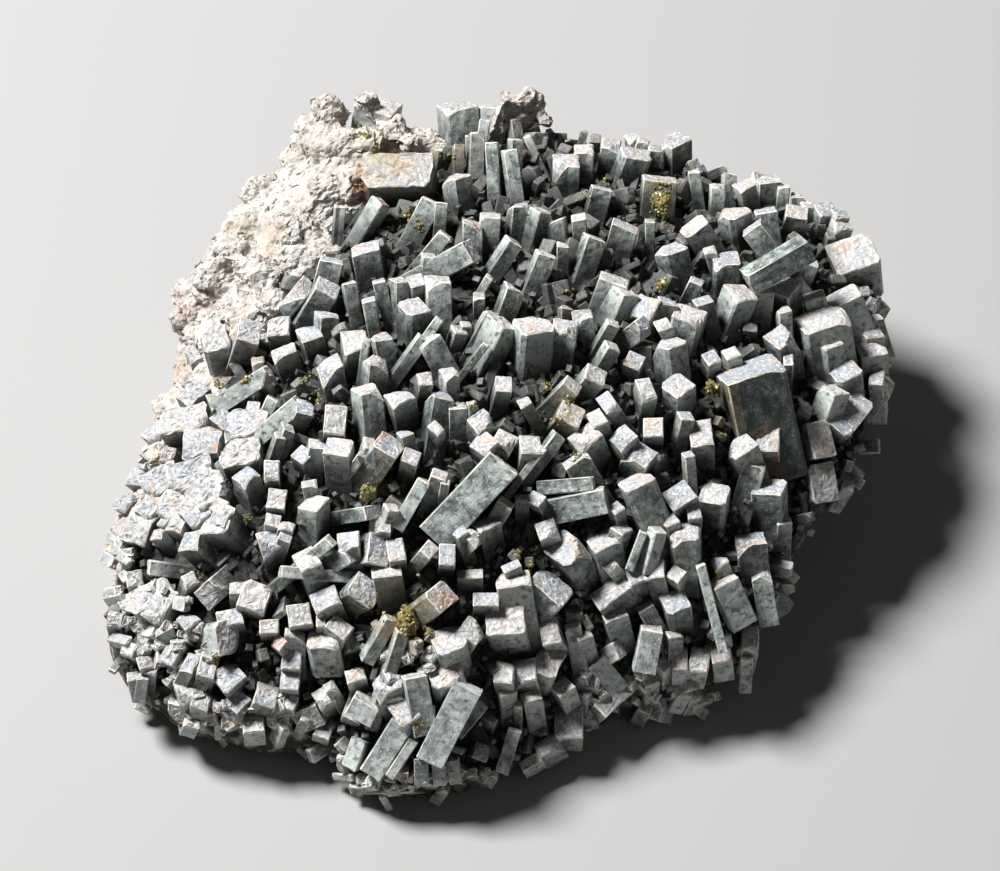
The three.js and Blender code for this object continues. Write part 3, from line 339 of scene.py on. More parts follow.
RIGHT_CRYSTALS = [
    (6.2, -1.5, 4.2, 4.7, 12, 44, 15), (11.8, 0.2, 2.6, 2.5, 37, 82, 20, 0, 12),
    (8.8, -2.4, 1.6, 2.2, 37, 80, 0), (16.9, 0, 5.7, 4.6, 335, 38, 15), (24.5, 0, 4.4, 4.5, 345, 42, 24),
    (28.3, -3.5, 5.4, 4.7, 22, 36, -14), (27, -8.6, 6.4, 5.2, 337, 63, 10),
    (35.7, -11.8, 5.5, 4.7, 330, 24, 5), (18.8, -9.6, 2.8, 3, 85, 80, 0, 0, 11),
    (21.8, -12.6, 5, 4, 78, 80, 10, 0, 13), (23.2, -14.3, 2.6, 2.8, 350, 44, 30),
    (15, -4.6, 5.4, 2.8, 330, 60, 0), (7.1, -12.6, 2.7, 3.3, 330, 30, 29),
    (4.4, -12.3, 2.8, 2.2, 0, 50, 0, -3), (1.3, -13.3, 3.4, 2.8, 30, 64, 0, -1.5),
    (9.3, -18.6, 4, 3.9, 340, 28, 0), (12.8, -22.3, 6, 7, 330, 40, 22), (20.6, -20.4, 6, 5.2, 345, 48, 15),
    (24.4, -18.4, 3.2, 3.7, 15, 54, -30), (21.2, -25.2, 2.8, 5, 318, 36, 0),
    (27.2, -27.4, 4, 4.6, 0, 32, 20), (31, -26.3, 3.6, 3.5, 345, 44, -15), (22, -31, 7.8, 4.5, 325, 32, 0),
    (37, -19, 5.8, 5.4, 355, 54, -8), (31.6, -18.8, 2.8, 3, 15, 70, 35, 0, 9),
    (28.7, -19.2, 1.7, 2.1, 20, 78, 0, 0, 8), (35.2, -27.6, 3.1, 3.1, 345, 30, 40),
    (35, -33, 5, 5.2, 350, 34, 15), (10.8, -29.8, 8.2, 6.2, 42, 46, 0), (2.2, -26, 3.6, 2.2, 345, 44, 10),
    (1.2, -0.7, 4.4, 3.7, 30, 34, 0, -0.5), (37.6, -3.6, 2.2, 2.6, 355, 68, 15),
    (38.8, -15.2, 2.8, 3.2, 0, 34, 10), (34, -16.5, 3, 3, 350, 50, 20, -1),
    (40.2, 0.8, 4.6, 6.4, 355, 36, 0), (48, -1.8, 5.8, 4.5, 340, 48, 20),
    (48.4, 29.2, 5.4, 6, 20, 66, 38, 1, 15),
    (49.4, 30.6, 4.6, 5, 240, 84, -25, 0.5, 14), (70.6, 36.7, 9.4, 8.4, 350, 34, 10),
    (52.4, 29.8, 4.2, 4.3, 5, 62, 15), (57, 30, 5, 5, 350, 45, 45), (62.7, 28.3, 4.4, 3.4, 345, 54, 0),
    (64.3, 23.8, 10, 7.6, 350, 62, 14, 1), (67.5, 27.6, 9, 5.2, 335, 60, 5),
    (65.8, 18.8, 4.4, 4.2, 350, 63, 25), (56, 20, 4.8, 5.5, 345, 45, 25),
    (56.7, 25.3, 2.8, 3.2, 355, 66, 10), (49.7, 13.8, 12.6, 9.4, 347, 67, 12, 2),
    (42.3, 16, 3, 3.2, 0, 44, 30), (46.2, 16.8, 3.2, 3.4, 350, 50, 15), (69, 13.1, 5.8, 5.3, 350, 48, 20),
    (67, 9.4, 4.6, 5, 18, 72, 45), (70.3, 4.6, 5.6, 10.2, 40, 26, 0), (74.4, 21.4, 4.2, 4.2, 5, 56, 25),
    (74.3, 17.6, 5.6, 5, 355, 50, 10), (75.3, 11.7, 3, 4, 350, 40, -15), (57.7, 15.3, 2, 3.5, 0, 40, 0),
    (53.5, -0.2, 4.7, 6, 350, 28, -12), (64.6, -0.7, 7.4, 5.6, 75, 30, -5),
    (74.8, 23.6, 3.4, 2.6, 340, 55, 0), (65, -9.4, 7.8, 6, 80, 30, 0), (69.6, -9.9, 2.6, 2.6, 30, 50, 20),
    (51, -5.2, 4.6, 3.6, 15, 72, 0, -1), (53.8, -10.1, 6.2, 5.6, 355, 53, -20),
    (42.9, -11.5, 5.4, 5.4, 0, 38, -16), (56.7, -16.2, 3, 3, 0, 46, 10), (50, -20.3, 6, 4.8, 355, 57, 5),
    (52, -26.9, 4, 3.6, 350, 70, 0, -1), (43.8, -24.6, 3.2, 3, 340, 52, 0),
    (44.4, -28.6, 5.4, 4, 335, 66, 10), (40, -25.6, 1.9, 2.5, 345, 82, 0, 0, 18),
    (61.5, 35.4, 4.6, 4.4, 20, 60, 10, -1.5), (58, 36.6, 4, 4, 40, 64, 0, -1.5),
]
FRONT_CRYSTALS = [
    (-35.8, -37, 1.9, 2.7, 0, 30, 0, -0.5), (-32, -38.2, 4.8, 4, 20, 32, -15),
    (-35.4, -40.4, 6.4, 5, 350, 50, -10, 0, 8), (-40.2, -35.8, 4.6, 4.6, 350, 18, 0),
    (-41, -39.6, 4, 2.7, 0, 50, 0, -1.5), (-28.9, -47.9, 3.9, 2.9, 350, 26, 5),
    (-35.6, -52, 3.6, 3.8, 330, 28, 0), (-34.2, -50, 2.4, 2.4, 330, 50, 0, -0.7),
    (-26.2, -52.6, 5.6, 4.6, 28, 76, 0), (-22.9, -49.2, 5.4, 4.7, 340, 42, 0),
    (-17.3, -47.6, 4.6, 3.6, 350, 72, 10), (-19.5, -54.7, 4.6, 6.5, 325, 28, 0),
    (-21.8, -36.4, 2.6, 3, 30, 75, 20, 0, 10), (-19.6, -38.8, 2.6, 2.8, 18, 70, 20),
    (-10.4, -40.6, 6.2, 6.2, 350, 38, 15), (-10.9, -47, 6.8, 6.6, 350, 30, 5),
    (-5.3, -38.8, 4.8, 4.6, 35, 32, -3), (1, -36.6, 7.6, 6.8, 345, 28, -10),
    (-14, -65, 5.6, 4.2, 207, 106, 0, 0.5, 17), (-25.8, -67.6, 4.6, 4, 212, 104, 0, 0.5, 12),
    (-22, -68.2, 2, 2.5, 213, 104, 0, 0, 9), (-14.2, -55.2, 2.4, 3, 0, 34, 0, -1),
    (-15.7, -70, 2.7, 2.6, 180, 110, 0, 0, 6), (-12, -69.6, 2.6, 2.5, 175, 110, 0, 0, 6),
    (-8.7, -69.4, 2.4, 2.4, 170, 108, 10, 0, 5), (-3.4, -53.6, 2.6, 2.4, 40, 78, 0, 0, 8),
    (-29.8, -66.4, 3.2, 2.6, 200, 100, 20, 0, 6), (9.7, -39, 3.7, 5.3, 320, 26, -26),
    (9.8, -45, 5.2, 6.8, 20, 30, -5), (4.7, -46.8, 4.8, 4.8, 345, 28, -10),
    (0.8, -47, 3.8, 5, 350, 30, -15), (1.5, -51, 3.4, 2.2, 0, 44, 20, -1), (6.2, -52, 3.8, 2.8, 350, 40, 10),
    (3.6, -53.4, 1.7, 2.4, 0, 44, 0, -1.5), (12.3, -50, 3.9, 4.3, 340, 34, 20),
    (16.7, -39.8, 3.2, 2.4, 345, 44, 10), (14.5, -37.9, 3.2, 2, 350, 60, 0, -1),
    (23, -35.9, 4.8, 2.4, 345, 44, 10), (24, -42.6, 3.6, 3.2, 60, 58, 0, -1),
    (23.6, -51.8, 3.6, 10.6, 48, 24, 0), (13.8, -57, 5.6, 7.2, 5, 24, 5), (9.4, -61.9, 5, 3.4, 330, 26, 0),
    (6, -65.2, 4.4, 2.4, 330, 26, 0), (0.4, -67.2, 2.6, 3, 197, 104, 0, 0, 9),
    (30.4, -38, 4.4, 4.2, 10, 78, 5, 0, 9), (36, -44.4, 3, 4.8, 0, 30, 0), (40, -44.6, 4, 5, 10, 30, 0),
    (44.2, -43.4, 4, 3.6, 350, 30, 0), (32.8, -45.4, 3.2, 3.2, 0, 30, 45), (30, -48.6, 3, 3, 0, 34, 20),
    (50.2, -40.2, 3.4, 5, 10, 36, 10), (49.4, -44.2, 2.4, 2.2, 0, 40, 0),
    (34.8, -39.6, 3, 2.8, 0, 48, 20, -1), (28.5, -33.5, 3.4, 3.4, 330, 60, 0, -3),
    (18.5, -44.5, 4, 4, 320, 60, 0, -5), (-30, -57.5, 4, 3.6, 200, 60, 0, -3),
    (-36, -61, 3.4, 3, 200, 60, 0, -1),
]
CRYSTALS = REAR_CRYSTALS + LEFT_CRYSTALS + MIDDLE_CRYSTALS + RIGHT_CRYSTALS + FRONT_CRYSTALS
print(len(CRYSTALS), "crystals are listed")

# %% [markdown]
# Broken plates and rubble.
# On the left flank broad broken ends are grown together into plates, and a broad block stands by the top
# lobe. They are listed as the crystals are, and a narrow gap parts them. Small broken crystals lie in
# patches along the lower rim. These are only rubble, so a fixed seed strews them: a patch is given by its
# middle and half size on the sight plane, and by how many lie in it.

# %% Broken plates and rubble
BROKEN_PLATES = [
    (-20.6, 53.4, 14.5, 9, 350, 36, -12, 1.6, 9),
    (-61.6, 8.8, 6.4, 5.2, 340, 42, 28, 1.2), (-63.6, 3.6, 10.6, 7.2, 332, 36, -22, 1.2),
    (-60, -1, 8.6, 7.4, 335, 40, -26, 1.2), (-51, 2.6, 9, 7, 342, 36, -24, 0.6),
    (-52.2, -2.8, 8.8, 7.4, 336, 34, -18, 0.2), (-68.2, -8.6, 8.6, 7, 322, 34, -10, 1),
    (-62.2, -7.6, 10, 7.4, 330, 32, -14, 0.8), (-58.4, -10.6, 8, 7, 335, 34, 10, 0.6),
    (-71, -4.6, 4.6, 4, 318, 40, 20, 0.8), (-69.2, 1, 5.4, 5, 320, 44, 15, 0.8),
    (-61.2, -14, 7, 8.2, 325, 38, 6, 0.6), (-55.8, -15.6, 5.4, 5, 322, 42, 25, 0.4),
    (-72.6, -17.4, 8.6, 7.4, 308, 42, 18, 0.4),
    (-70, -13.2, 7.4, 6, 315, 36, 0, 0.6), (-66.2, -13.6, 6.4, 6.6, 320, 34, 24, 0.8),
    (-66.8, -3.4, 4, 3.6, 325, 40, 40, 0.4), (-75.6, -13, 5, 5, 305, 48, 10, 0),
    (-73, -8, 4.6, 5, 312, 46, 30, 0.4), (-64.8, -17.4, 4.4, 4.2, 318, 46, 30, 0.2),
    (-56.6, 8, 4.8, 4.4, 345, 46, 10, 0.6), (-68.5, -33.5, 8, 6, 320, 36, 20, 0.4),
]
PLATE_GAP = 0.6
RUBBLE = [
    (-68.5, -36, 9.5, 7, 44), (-63, -46.5, 9, 5, 24), (-50, -55.5, 14, 4, 28), (-24, -69.6, 8, 2.6, 24),
    (-8, -68.3, 9, 2.2, 22), (28, -51.5, 16, 4, 34), (-17, -46.5, 8, 5, 16), (-75.2, -28, 2, 6, 14),
]
RUBBLE_SEED = 8
RUBBLE_WIDTH = (1.3, 3.3)
RUBBLE_SLIMMEST = 0.6
RUBBLE_TILT = (10, 50)
RUBBLE_TURN = (-45, 45)
RUBBLE_RISE = (-2.6, 0.5)
RUBBLE_LENGTH = 6

rubble_rng = np.random.default_rng(RUBBLE_SEED)
rubble = []
for x, y, half_width, half_height, count in RUBBLE:
    for _ in range(count):
        away, turn = math.sqrt(rubble_rng.uniform()), rubble_rng.uniform(0, 2 * math.pi)
        width = rubble_rng.uniform(*RUBBLE_WIDTH)
        rubble.append((
            x + half_width * away * math.cos(turn), y + half_height * away * math.sin(turn),
            width, width * rubble_rng.uniform(RUBBLE_SLIMMEST, 1), rubble_rng.uniform(0, 360),
            rubble_rng.uniform(*RUBBLE_TILT), rubble_rng.uniform(*RUBBLE_TURN),
            rubble_rng.uniform(*RUBBLE_RISE), RUBBLE_LENGTH,
        ))
parted_plates = [
    (x, y, width - PLATE_GAP, depth - PLATE_GAP, *rest) for x, y, width, depth, *rest in BROKEN_PLATES
]
BROKEN = parted_plates + rubble
print(len(parted_plates), "plates and", len(rubble), "pieces of rubble")

# %% [markdown]
# How far a crystal reaches back.
# A crystal is rooted in the crust, so it runs back from its cap until it is well buried. One that lies
# almost along the surface never gets deep, and stops where it is deepest. The back of the specimen isn't
# seen from the front, so a rule spreads crystals over it in the same sizes.

# %% Roots, and the crystals of the back
LONGEST_RUN = 24
SHORTEST_RUN = 4
RUN_STEP = 0.5
ROOT_DEPTH = BED_DEPTH + 2.5
LOWEST_ROOT = 2.5
# The crystals of the back: how many, between which angles, and the spread of their directions and sizes.
BACK_CRYSTAL_COUNT = 28
BACK_FROM_ANGLE = 8
BACK_TO_ANGLE = 172
GOLDEN_SHARE = 0.618034
BACK_STEEPEST = 62
BACK_FLATTER = 50
BACK_LEAN_SPREAD = 24
BACK_AIM_SPREAD = 0.9
BACK_TWIST = 1.4
BACK_LEAST_WIDTH = 3.4
BACK_WIDTH_SPREAD = 3
BACK_LENGTH = 15


def scatter(index):
    """Repeatable number from 0 to 1 for each index."""
    value = math.sin(index * 12.9898) * 43758.5453
    return value - math.floor(value)


def root_run(tip, axis):
    """How far a crystal runs back from its tip: until it is buried, or to where it lies deepest."""
    run, deepest = SHORTEST_RUN, -math.inf
    for along in np.arange(SHORTEST_RUN, LONGEST_RUN + 0.01, RUN_STEP):
        point = tip - axis * along
        depth = dome_height(point.x, point.y) - point.z
        if depth > deepest and point.z > LOWEST_ROOT:
            deepest, run = depth, along
        if depth > ROOT_DEPTH:
            break
    return run


def listed_crystal(row):
    """Tip, directions, width, depth and length of a crystal from its row in a list."""
    x, y, width, depth, heading, tilt, turn = row[:7]
    rise = row[7] if len(row) > 7 else 0
    axes = crystal_axes(heading, tilt, turn)
    tip = seen_at(x, y, rise)
    length = row[8] if len(row) > 8 else root_run(tip, axes[0])
    return tip, axes, width, depth, length


def back_crystal(k):
    """The same for crystal number k of the back, which stands out from the hidden rim and wall."""
    share = (k + 0.5) / BACK_CRYSTAL_COUNT
    angle = math.radians(BACK_FROM_ANGLE + (BACK_TO_ANGLE - BACK_FROM_ANGLE) * ((k * GOLDEN_SHARE) % 1))
    radius = round_the_circle(RIM_RADIUS, angle) + 0.5 - 7 * share
    height = round_the_circle(RIM_HEIGHT, angle) * (1.02 - 0.55 * share)
    lean = math.radians(BACK_STEEPEST - BACK_FLATTER * share + BACK_LEAN_SPREAD * (scatter(k * 3) - 0.5))
    aim = angle + (scatter(k * 3 + 1) - 0.5) * BACK_AIM_SPREAD
    axis = Vector((math.cos(aim) * math.cos(lean), math.sin(aim) * math.cos(lean), math.sin(lean)))
    wide = Vector((-math.sin(aim), math.cos(aim), 0))
    wide.rotate(Matrix.Rotation((scatter(k * 3 + 2) - 0.5) * BACK_TWIST, 3, axis))
    width = BACK_LEAST_WIDTH + BACK_WIDTH_SPREAD * scatter(k * 5 + 4)
    depth = width * (0.75 + 0.3 * scatter(k * 5 + 2))
    tip = Vector((radius * math.cos(angle), radius * math.sin(angle), height))
    return tip, (axis, wide, axis.cross(wide)), width, depth, BACK_LENGTH


placed = [listed_crystal(row) for row in BROKEN + CRYSTALS]
placed += [back_crystal(k) for k in range(BACK_CRYSTAL_COUNT)]
print(len(placed), "crystals placed, longest", max(round(c[4], 1) for c in placed), "mm")

# %% [markdown]
# One worn crystal.
# A real prism here has steps down its sides, edges that are rubbed pale, a flat end that is seldom quite
# square to its length, and here and there a chipped corner. A plain box with a Bevel modifier would be
# quick, but every crystal would wear alike. So a small builder walks round the section first: it sets
# strips of the sides back by a hair, and cuts the corners of large crystals.

# %% Section of a crystal
SIDE, CAP, WORN = 0, 1, 2
STEP_DEPTH = 0.22
STRIP_WIDTH = 1.15
MOST_STRIPS = 6
EDGE_WEAR = 0.2
LARGE_SECTION = 5
CORNER_CUT = 0.17
NARROW_CUT = 0.4


def section_outline(width, depth, rng):
    """Points round the section, anticlockwise, and for each step to the next point its kind."""
    half_w, half_d = width / 2, depth / 2
    least = min(width, depth)
    cuts = [EDGE_WEAR * rng.uniform(0.5, 1.4) for _ in range(4)]
    if least >= LARGE_SECTION:
        cuts = [CORNER_CUT * least * rng.uniform(0.1, 1.1) for _ in range(4)]
    corners = [(-half_w, -half_d), (half_w, -half_d), (half_w, half_d), (-half_w, half_d)]
    points, kinds = [], []
    deepest = STEP_DEPTH * rng.uniform(0, 1) ** 2
    for side in range(4):
        start, end = Vector(corners[side]), Vector(corners[(side + 1) % 4])
        along = (end - start).normalized()
        inwards = Vector((-along.y, along.x))
        first = start + along * cuts[side]
        last = end - along * cuts[(side + 1) % 4]
        run = (last - first).length
        strips = int(min(MOST_STRIPS, max(1, round(run / STRIP_WIDTH * rng.uniform(0.7, 1.3)))))
        places = sorted([0.0] + [(k + rng.uniform(-0.3, 0.3)) / strips for k in range(1, strips)] + [1.0])
        for number, place in enumerate(places):
            inside = deepest * rng.uniform(0, 1) * (0 < number < strips)
            points.append(first + along * (run * place) + inwards * inside)
            corner_kind = WORN if cuts[(side + 1) % 4] < NARROW_CUT else SIDE
            kinds.append(SIDE if number < strips else corner_kind)
    return points, kinds


print("a 5 by 5 mm section has", len(section_outline(5, 5, np.random.default_rng(1))[0]), "points")

# %% [markdown]
# The broken end.
# No end is as smooth as a sawn one. It slopes a little, its corners are chipped off along flat breaks, and
# its face has the grain of the fibres that it broke across. Each of these moves the points of the end, so
# the wear is real shape and catches the light from any side. On the left flank the ends are much rougher.

# %% Slope, chips and grain of an end
END_SLOPE = 0.06
STEEP_CHANCE = 0.16
STEEPER = 3.5
CHIP_TRIES = 3
CHIP_CHANCE = 0.16
ROUGH_CHIP_CHANCE = 0.4
CHIP_REACH = (0.2, 0.6)
CHIP_FALL = (0.4, 1.6)
LARGEST_CHIP = 2.0
ROUGH_GRAIN = 0.9
ROUGH_RELIEF = 0.42
RAGGED = 0.16
RAGGED_GRAIN = 0.8


def end_slope(least, rng):
    """Rise of the end across the width and the depth. Some small crystals are cut steeply."""
    slope = Vector((rng.normal(0, END_SLOPE), rng.normal(0, END_SLOPE)))
    if rng.uniform() < STEEP_CHANCE and least < LARGE_SECTION:
        slope *= STEEPER
    return slope


def corner_chips(width, depth, rough, rng):
    """Flat breaks: the corner, the way inwards, how far in each reaches and how steeply it falls."""
    chips = []
    for _ in range(CHIP_TRIES):
        corner = Vector((rng.choice([-1, 1]) * width / 2, rng.choice([-1, 1]) * depth / 2))
        reach = min(LARGEST_CHIP, min(width, depth) * rng.uniform(*CHIP_REACH))
        fall = rng.uniform(*CHIP_FALL)
        if rng.uniform() < CHIP_CHANCE + ROUGH_CHIP_CHANCE * rough:
            chips.append((corner, (-corner).normalized(), reach, fall))
    return chips


def end_relief(x, y, shift):
    """Height in mm of the broken grain of a rough end."""
    return noise.fractal(Vector((x / ROUGH_GRAIN + shift, y / ROUGH_GRAIN, 0)), 1.0, 2.0, 3) * ROUGH_RELIEF


def broken_off(x, y, z, slope, chips, rough, shift):
    """Moves a point of a square end to where the chips, the slope and the grain put it."""
    for corner, inwards, reach, fall in chips:
        z -= max(0.0, reach - (Vector((x, y)) - corner).dot(inwards)) * fall
    z += slope.x * x + slope.y * y
    z += end_relief(x, y, shift) * rough
    ragged = 1 + RAGGED * rough * noise.noise(Vector((x, y, shift)) * RAGGED_GRAIN)
    return x * ragged, y * ragged, z


print("grain of an end at its middle:", round(end_relief(0, 0, 1), 2), "mm")

# %% [markdown]
# The crystal's faces.
# Rings of points run from the root to the cap. The last fraction of a millimetre narrows and makes the worn
# edge, and the rings inside it are the cap. Each face is told which kind it is, side, cap or worn edge, and
# the UV map is in mm: round the crystal and along it, counted from a flat cap at 0.

# %% Crystal builder
ROOT_SPREAD = 1.03
MIDDLE_RING = 0.45
WEAR_MOST = 0.12
WEAR_NARROWS = 1.5
ROUGH_END = 0.2
ROUGH_CAP_RINGS = (0.84, 0.66, 0.48, 0.28)
SMOOTH_CAP_RINGS = (0.7, 0.35)
GRAIN_SPREAD = 0.015
ROUGH_GRAIN_SPREAD = 0.07


def crystal_faces(verts, outline, heights, kinds, shift):
    """Faces between the rings of a crystal, their kinds and their UVs."""
    count = len(outline)
    girth = [0.0]
    for k in range(count):
        girth.append(girth[-1] + (outline[(k + 1) % count] - outline[k]).length)
    faces, face_kinds, uvs = [], [], []

    def end_uvs(face):
        """UVs of a face of the cap, across the crystal."""
        return [(shift + verts[v][0], shift + verts[v][1]) for v in face]

    for ring, (bottom, top) in enumerate(zip(heights, heights[1:])):
        low, high = ring * count, (ring + 1) * count
        for k in range(count):
            n = (k + 1) % count
            faces.append((low + k, low + n, high + n, high + k))
            if ring < 2:
                here, there = shift + girth[k], shift + girth[k + 1]
                face_kinds.append(kinds[k])
                uvs += [(here, bottom), (there, bottom), (there, top), (here, top)]
            else:
                face_kinds.append(WORN if ring == 2 else CAP)
                uvs += end_uvs(faces[-1])
    centre = len(verts) - 1
    last = (len(heights) - 1) * count
    for k in range(count):
        faces.append((centre, last + k, last + (k + 1) % count))
        face_kinds.append(CAP)
        uvs += end_uvs(faces[-1])
    faces.append(tuple(reversed(range(count))))
    face_kinds.append(SIDE)
    uvs += [(shift, 0.0)] * count
    return faces, face_kinds, uvs


def crystal_mesh(width, depth, length, rng, rough):
    """Vertices (along width, depth, length with the tip at 0), faces, kinds and UVs of one crystal."""
    outline, kinds = section_outline(width, depth, rng)
    least = min(width, depth)
    wear = min(EDGE_WEAR * rng.uniform(0.6, 1.5), WEAR_MOST * least)
    slope = end_slope(least, rng)
    chips = corner_chips(width, depth, rough, rng)
    shift = rng.uniform(0, 200)
    cap_rings = ROUGH_CAP_RINGS if rough > ROUGH_END else SMOOTH_CAP_RINGS
    rings = [(ROOT_SPREAD, -length), (1.0, -length * MIDDLE_RING), (1.0, -wear)]
    rings += [(1 - WEAR_NARROWS * wear / least, 0.0)] + [(size, 0.0) for size in cap_rings]
    verts = []
    for number, (size, height) in enumerate(rings):
        for point in outline:
            x, y, z = point.x * size, point.y * size, height
            if number >= 2:
                x, y, z = broken_off(x, y, z, slope, chips, rough, shift)
            if number >= 3:
                z += rng.normal(0, GRAIN_SPREAD + ROUGH_GRAIN_SPREAD * rough)
            verts.append((x, y, z))
    verts.append((0.0, 0.0, end_relief(0, 0, shift) * rough))
    return verts, *crystal_faces(verts, outline, [height for _, height in rings], kinds, shift)


print("a 5 by 5 mm crystal has", len(crystal_mesh(5, 5, 15, np.random.default_rng(1), 0)[1]), "faces")

# %% [markdown]
# All listed crystals as one mesh.
# Several hundred objects would be slow to handle, and the real crystals are grown together anyway, so
# they become one mesh. Two numbers are kept on its faces for the finish: tone, which differs from
# crystal to crystal, and dust, which is high beside the bare rock where pale grains cling to everything.

# %% Meshes, attributes and objects
def new_mesh(name, verts, faces, materials):
    """A mesh from lists of points and faces, with its finishes."""
    mesh = bpy.data.meshes.new(name)
    mesh.from_pydata(verts, [], faces)
    for material in materials:
        mesh.materials.append(material)
    return mesh


def new_piece(name, mesh):
    """An object at the origin that shows the mesh, linked to the scene."""
    piece = bpy.data.objects.new(name, mesh)
    bpy.context.scene.collection.objects.link(piece)
    return piece


def keep_values(mesh, key, domain, values):
    """Keeps one number for each point or face of a mesh, for the finishes and the spreading tree."""
    mesh.attributes.new(key, "FLOAT", domain).data.foreach_set("value", values)


class MeshParts:
    """Collects the parts of one mesh and makes it in one go."""

    def __init__(self):
        self.verts, self.faces, self.kinds, self.uvs, self.tones, self.dusts = [], [], [], [], [], []

    def add(self, verts, faces, kinds, uvs, tone=0.0, dust=0.0):
        """Adds one part, whose faces all have the same tone and dust."""
        start = len(self.verts)
        self.verts += verts
        self.faces += [tuple(start + v for v in face) for face in faces]
        self.kinds += kinds
        self.uvs += uvs
        self.tones += [tone] * len(faces)
        self.dusts += [dust] * len(faces)

    def make(self, name, materials):
        """Makes the mesh with its finishes, its UV map and its numbers, and an object that shows it."""
        mesh = new_mesh(name, self.verts, self.faces, materials)
        mesh.polygons.foreach_set("material_index", self.kinds)
        layer = mesh.uv_layers.new(name="along")
        layer.data.foreach_set("uv", np.array(self.uvs, np.float32).ravel())
        keep_values(mesh, "tone", "FACE", self.tones)
        keep_values(mesh, "dust", "FACE", self.dusts)
        mesh.update()
        return new_piece(name, mesh)


FINISH_NAMES = ["crystal side", "crystal cap", "worn edge", "crust bed", "bare rock", "epidote"]
finish = {name: bpy.data.materials.new(name) for name in FINISH_NAMES}
print(len(finish), "finishes to fill in")

# %% [markdown]
# Dust and roughness of each crystal.
# Pale dust lies thickest beside the bare rock, on the left flank and a little along the front, and the
# dusty crystals have the rougher ends. The broadest crystals are painted dark, as the shade on their front
# faces, which is why their tone isn't left to chance.

# %% Crystals piece
SEED = 27
# Places from which rock dust reaches a crystal, in plan from the crystal.
DUST_FROM = ((0, 0), (-9, 4), (-5, 7))
ROCK_DUST = 0.7
LEFT_DUST = 0.85
LEFT_DUSTY = (30, 75)
FRONT_DUST = 0.35
FRONT_DUSTY = (30, 70)
DUSTY_ROUGH = 0.6
LARGE_ROUGH = 0.3
SMALL_ROUGH = 0.1
LARGE_FROM = 4
BROKEN_ROUGH = 0.9
BROKEN_DUST = 0.45
LIFT_FROM = 3
LOWEST_LIFT = -0.5
# Crystals broader than this get a dark tone, as painted shade on their front faces.
BIG_FROM = 9
BIG_PAINTED_SHADE_TONE = -0.5


def dustiness(point):
    """How much pale rock dust lies on a crystal, from 0 to 1."""
    near_rock = max(bareness(point.x + dx, point.y + dy) for dx, dy in DUST_FROM)
    left = smoothstep(-point.x, *LEFT_DUSTY) * LEFT_DUST
    front = smoothstep(-point.y, *FRONT_DUSTY) * FRONT_DUST
    return min(1.0, ROCK_DUST * near_rock + left + front)


crystal_finishes = [finish["crystal side"], finish["crystal cap"], finish["worn edge"]]
rng = np.random.default_rng(SEED)
crystal_parts = MeshParts()
for number, (tip, (axis, wide, deep), width, depth, length) in enumerate(placed):
    least = min(width, depth)
    dust = dustiness(tip)
    rough = max(DUSTY_ROUGH * dust, LARGE_ROUGH if least >= LARGE_FROM else SMALL_ROUGH)
    if number < len(BROKEN):
        rough = BROKEN_ROUGH
        dust = max(dust, BROKEN_DUST)
    local, faces, kinds, uvs = crystal_mesh(width, depth, length, rng, rough)
    lift = 0.0 if least < LIFT_FROM else rng.uniform(LOWEST_LIFT, 0.0)
    verts = [tuple(to_frame(tip + wide * x + deep * y + axis * (z + lift))) for x, y, z in local]
    tone = rng.uniform()
    # Painted shade: the broadest crystals get a dark tone.
    if least > BIG_FROM:
        tone = BIG_PAINTED_SHADE_TONE
    crystal_parts.add(verts, faces, kinds, uvs, tone, dust)
crystals = crystal_parts.make("crystals", crystal_finishes)
print("crystals piece:", len(crystals.data.polygons), "faces")

# %% [markdown]
# The bed of the crust.
# Between the free prisms lies a layer of crystal bases and crumbs. It follows the dome a few
# millimetres lower. A plane could be sculpted, but a grid of rings with layered noise gives the crumbly
# surface straight from the same dome rule, closed underneath so that it is a solid. On the left flank it
# comes up between the plates as flat, cracked cells.

# %% Shape of the bed
BED_AROUND = 260
BED_WALL_STEPS = 10
BED_TOP_STEPS = 86
BED_INSET = 2
BARE_INSET = 8
# Corners of the bed's wall, from the bottom up: how far in, how far below the rim, and the least height.
BED_WALL = [(4, 13, 1), (1, 7, 3), (1.5, 2.5, 4.4)]
RIM_SHARE = 0.93


def bed_profile(angle):
    """Points from the bottom up the wall and over the top to the middle, in the plane of `angle`."""
    rim = round_the_circle(RIM_RADIUS, angle)
    foot = round_the_circle(FOOT_RADIUS, angle)
    height = round_the_circle(RIM_HEIGHT, angle)
    bare = bareness(rim * math.cos(angle), rim * math.sin(angle))
    radius = rim - BED_INSET - BARE_INSET * bare
    starts = ((foot + radius) / 2, radius, radius)
    corners = [(r - inset, max(least, height - drop)) for r, (inset, drop, least) in zip(starts, BED_WALL)]
    points = []
    for (r0, z0), (r1, z1) in zip(corners, corners[1:]):
        for k in range(BED_WALL_STEPS // 2):
            share = k / (BED_WALL_STEPS // 2)
            points.append((r0 + (r1 - r0) * share, z0 + (z1 - z0) * share))
    top_radius, rim_height = corners[2]
    for k in range(BED_TOP_STEPS):
        share = 1 - k / BED_TOP_STEPS
        r = top_radius * share
        top = dome_height(r * math.cos(angle), r * math.sin(angle)) - BED_DEPTH
        points.append((r, max(top, rim_height) if share > RIM_SHARE else top))
    return points


print("points in one profile of the bed:", len(bed_profile(0.0)))

# %% [markdown]
# Relief from cells.
# Both the crumbs of the bed and the broken faces of the rock come from Voronoi cells. Crumbs are rounded
# cells, and plates are cells that each lie at their own height and tilt, with a crack round every one.

# %% Crumbs, plates and the fused flank
PLATE_RELIEF = 1.6
CRACK_WIDTH = 0.14
CRACK_DEPTH = 2.0
CRUMB_EDGE = 0.35
FUSED_LEFT = (46, 54)
FUSED_LOW = (-27, -20)
FUSED_HIGH = (8, 15)


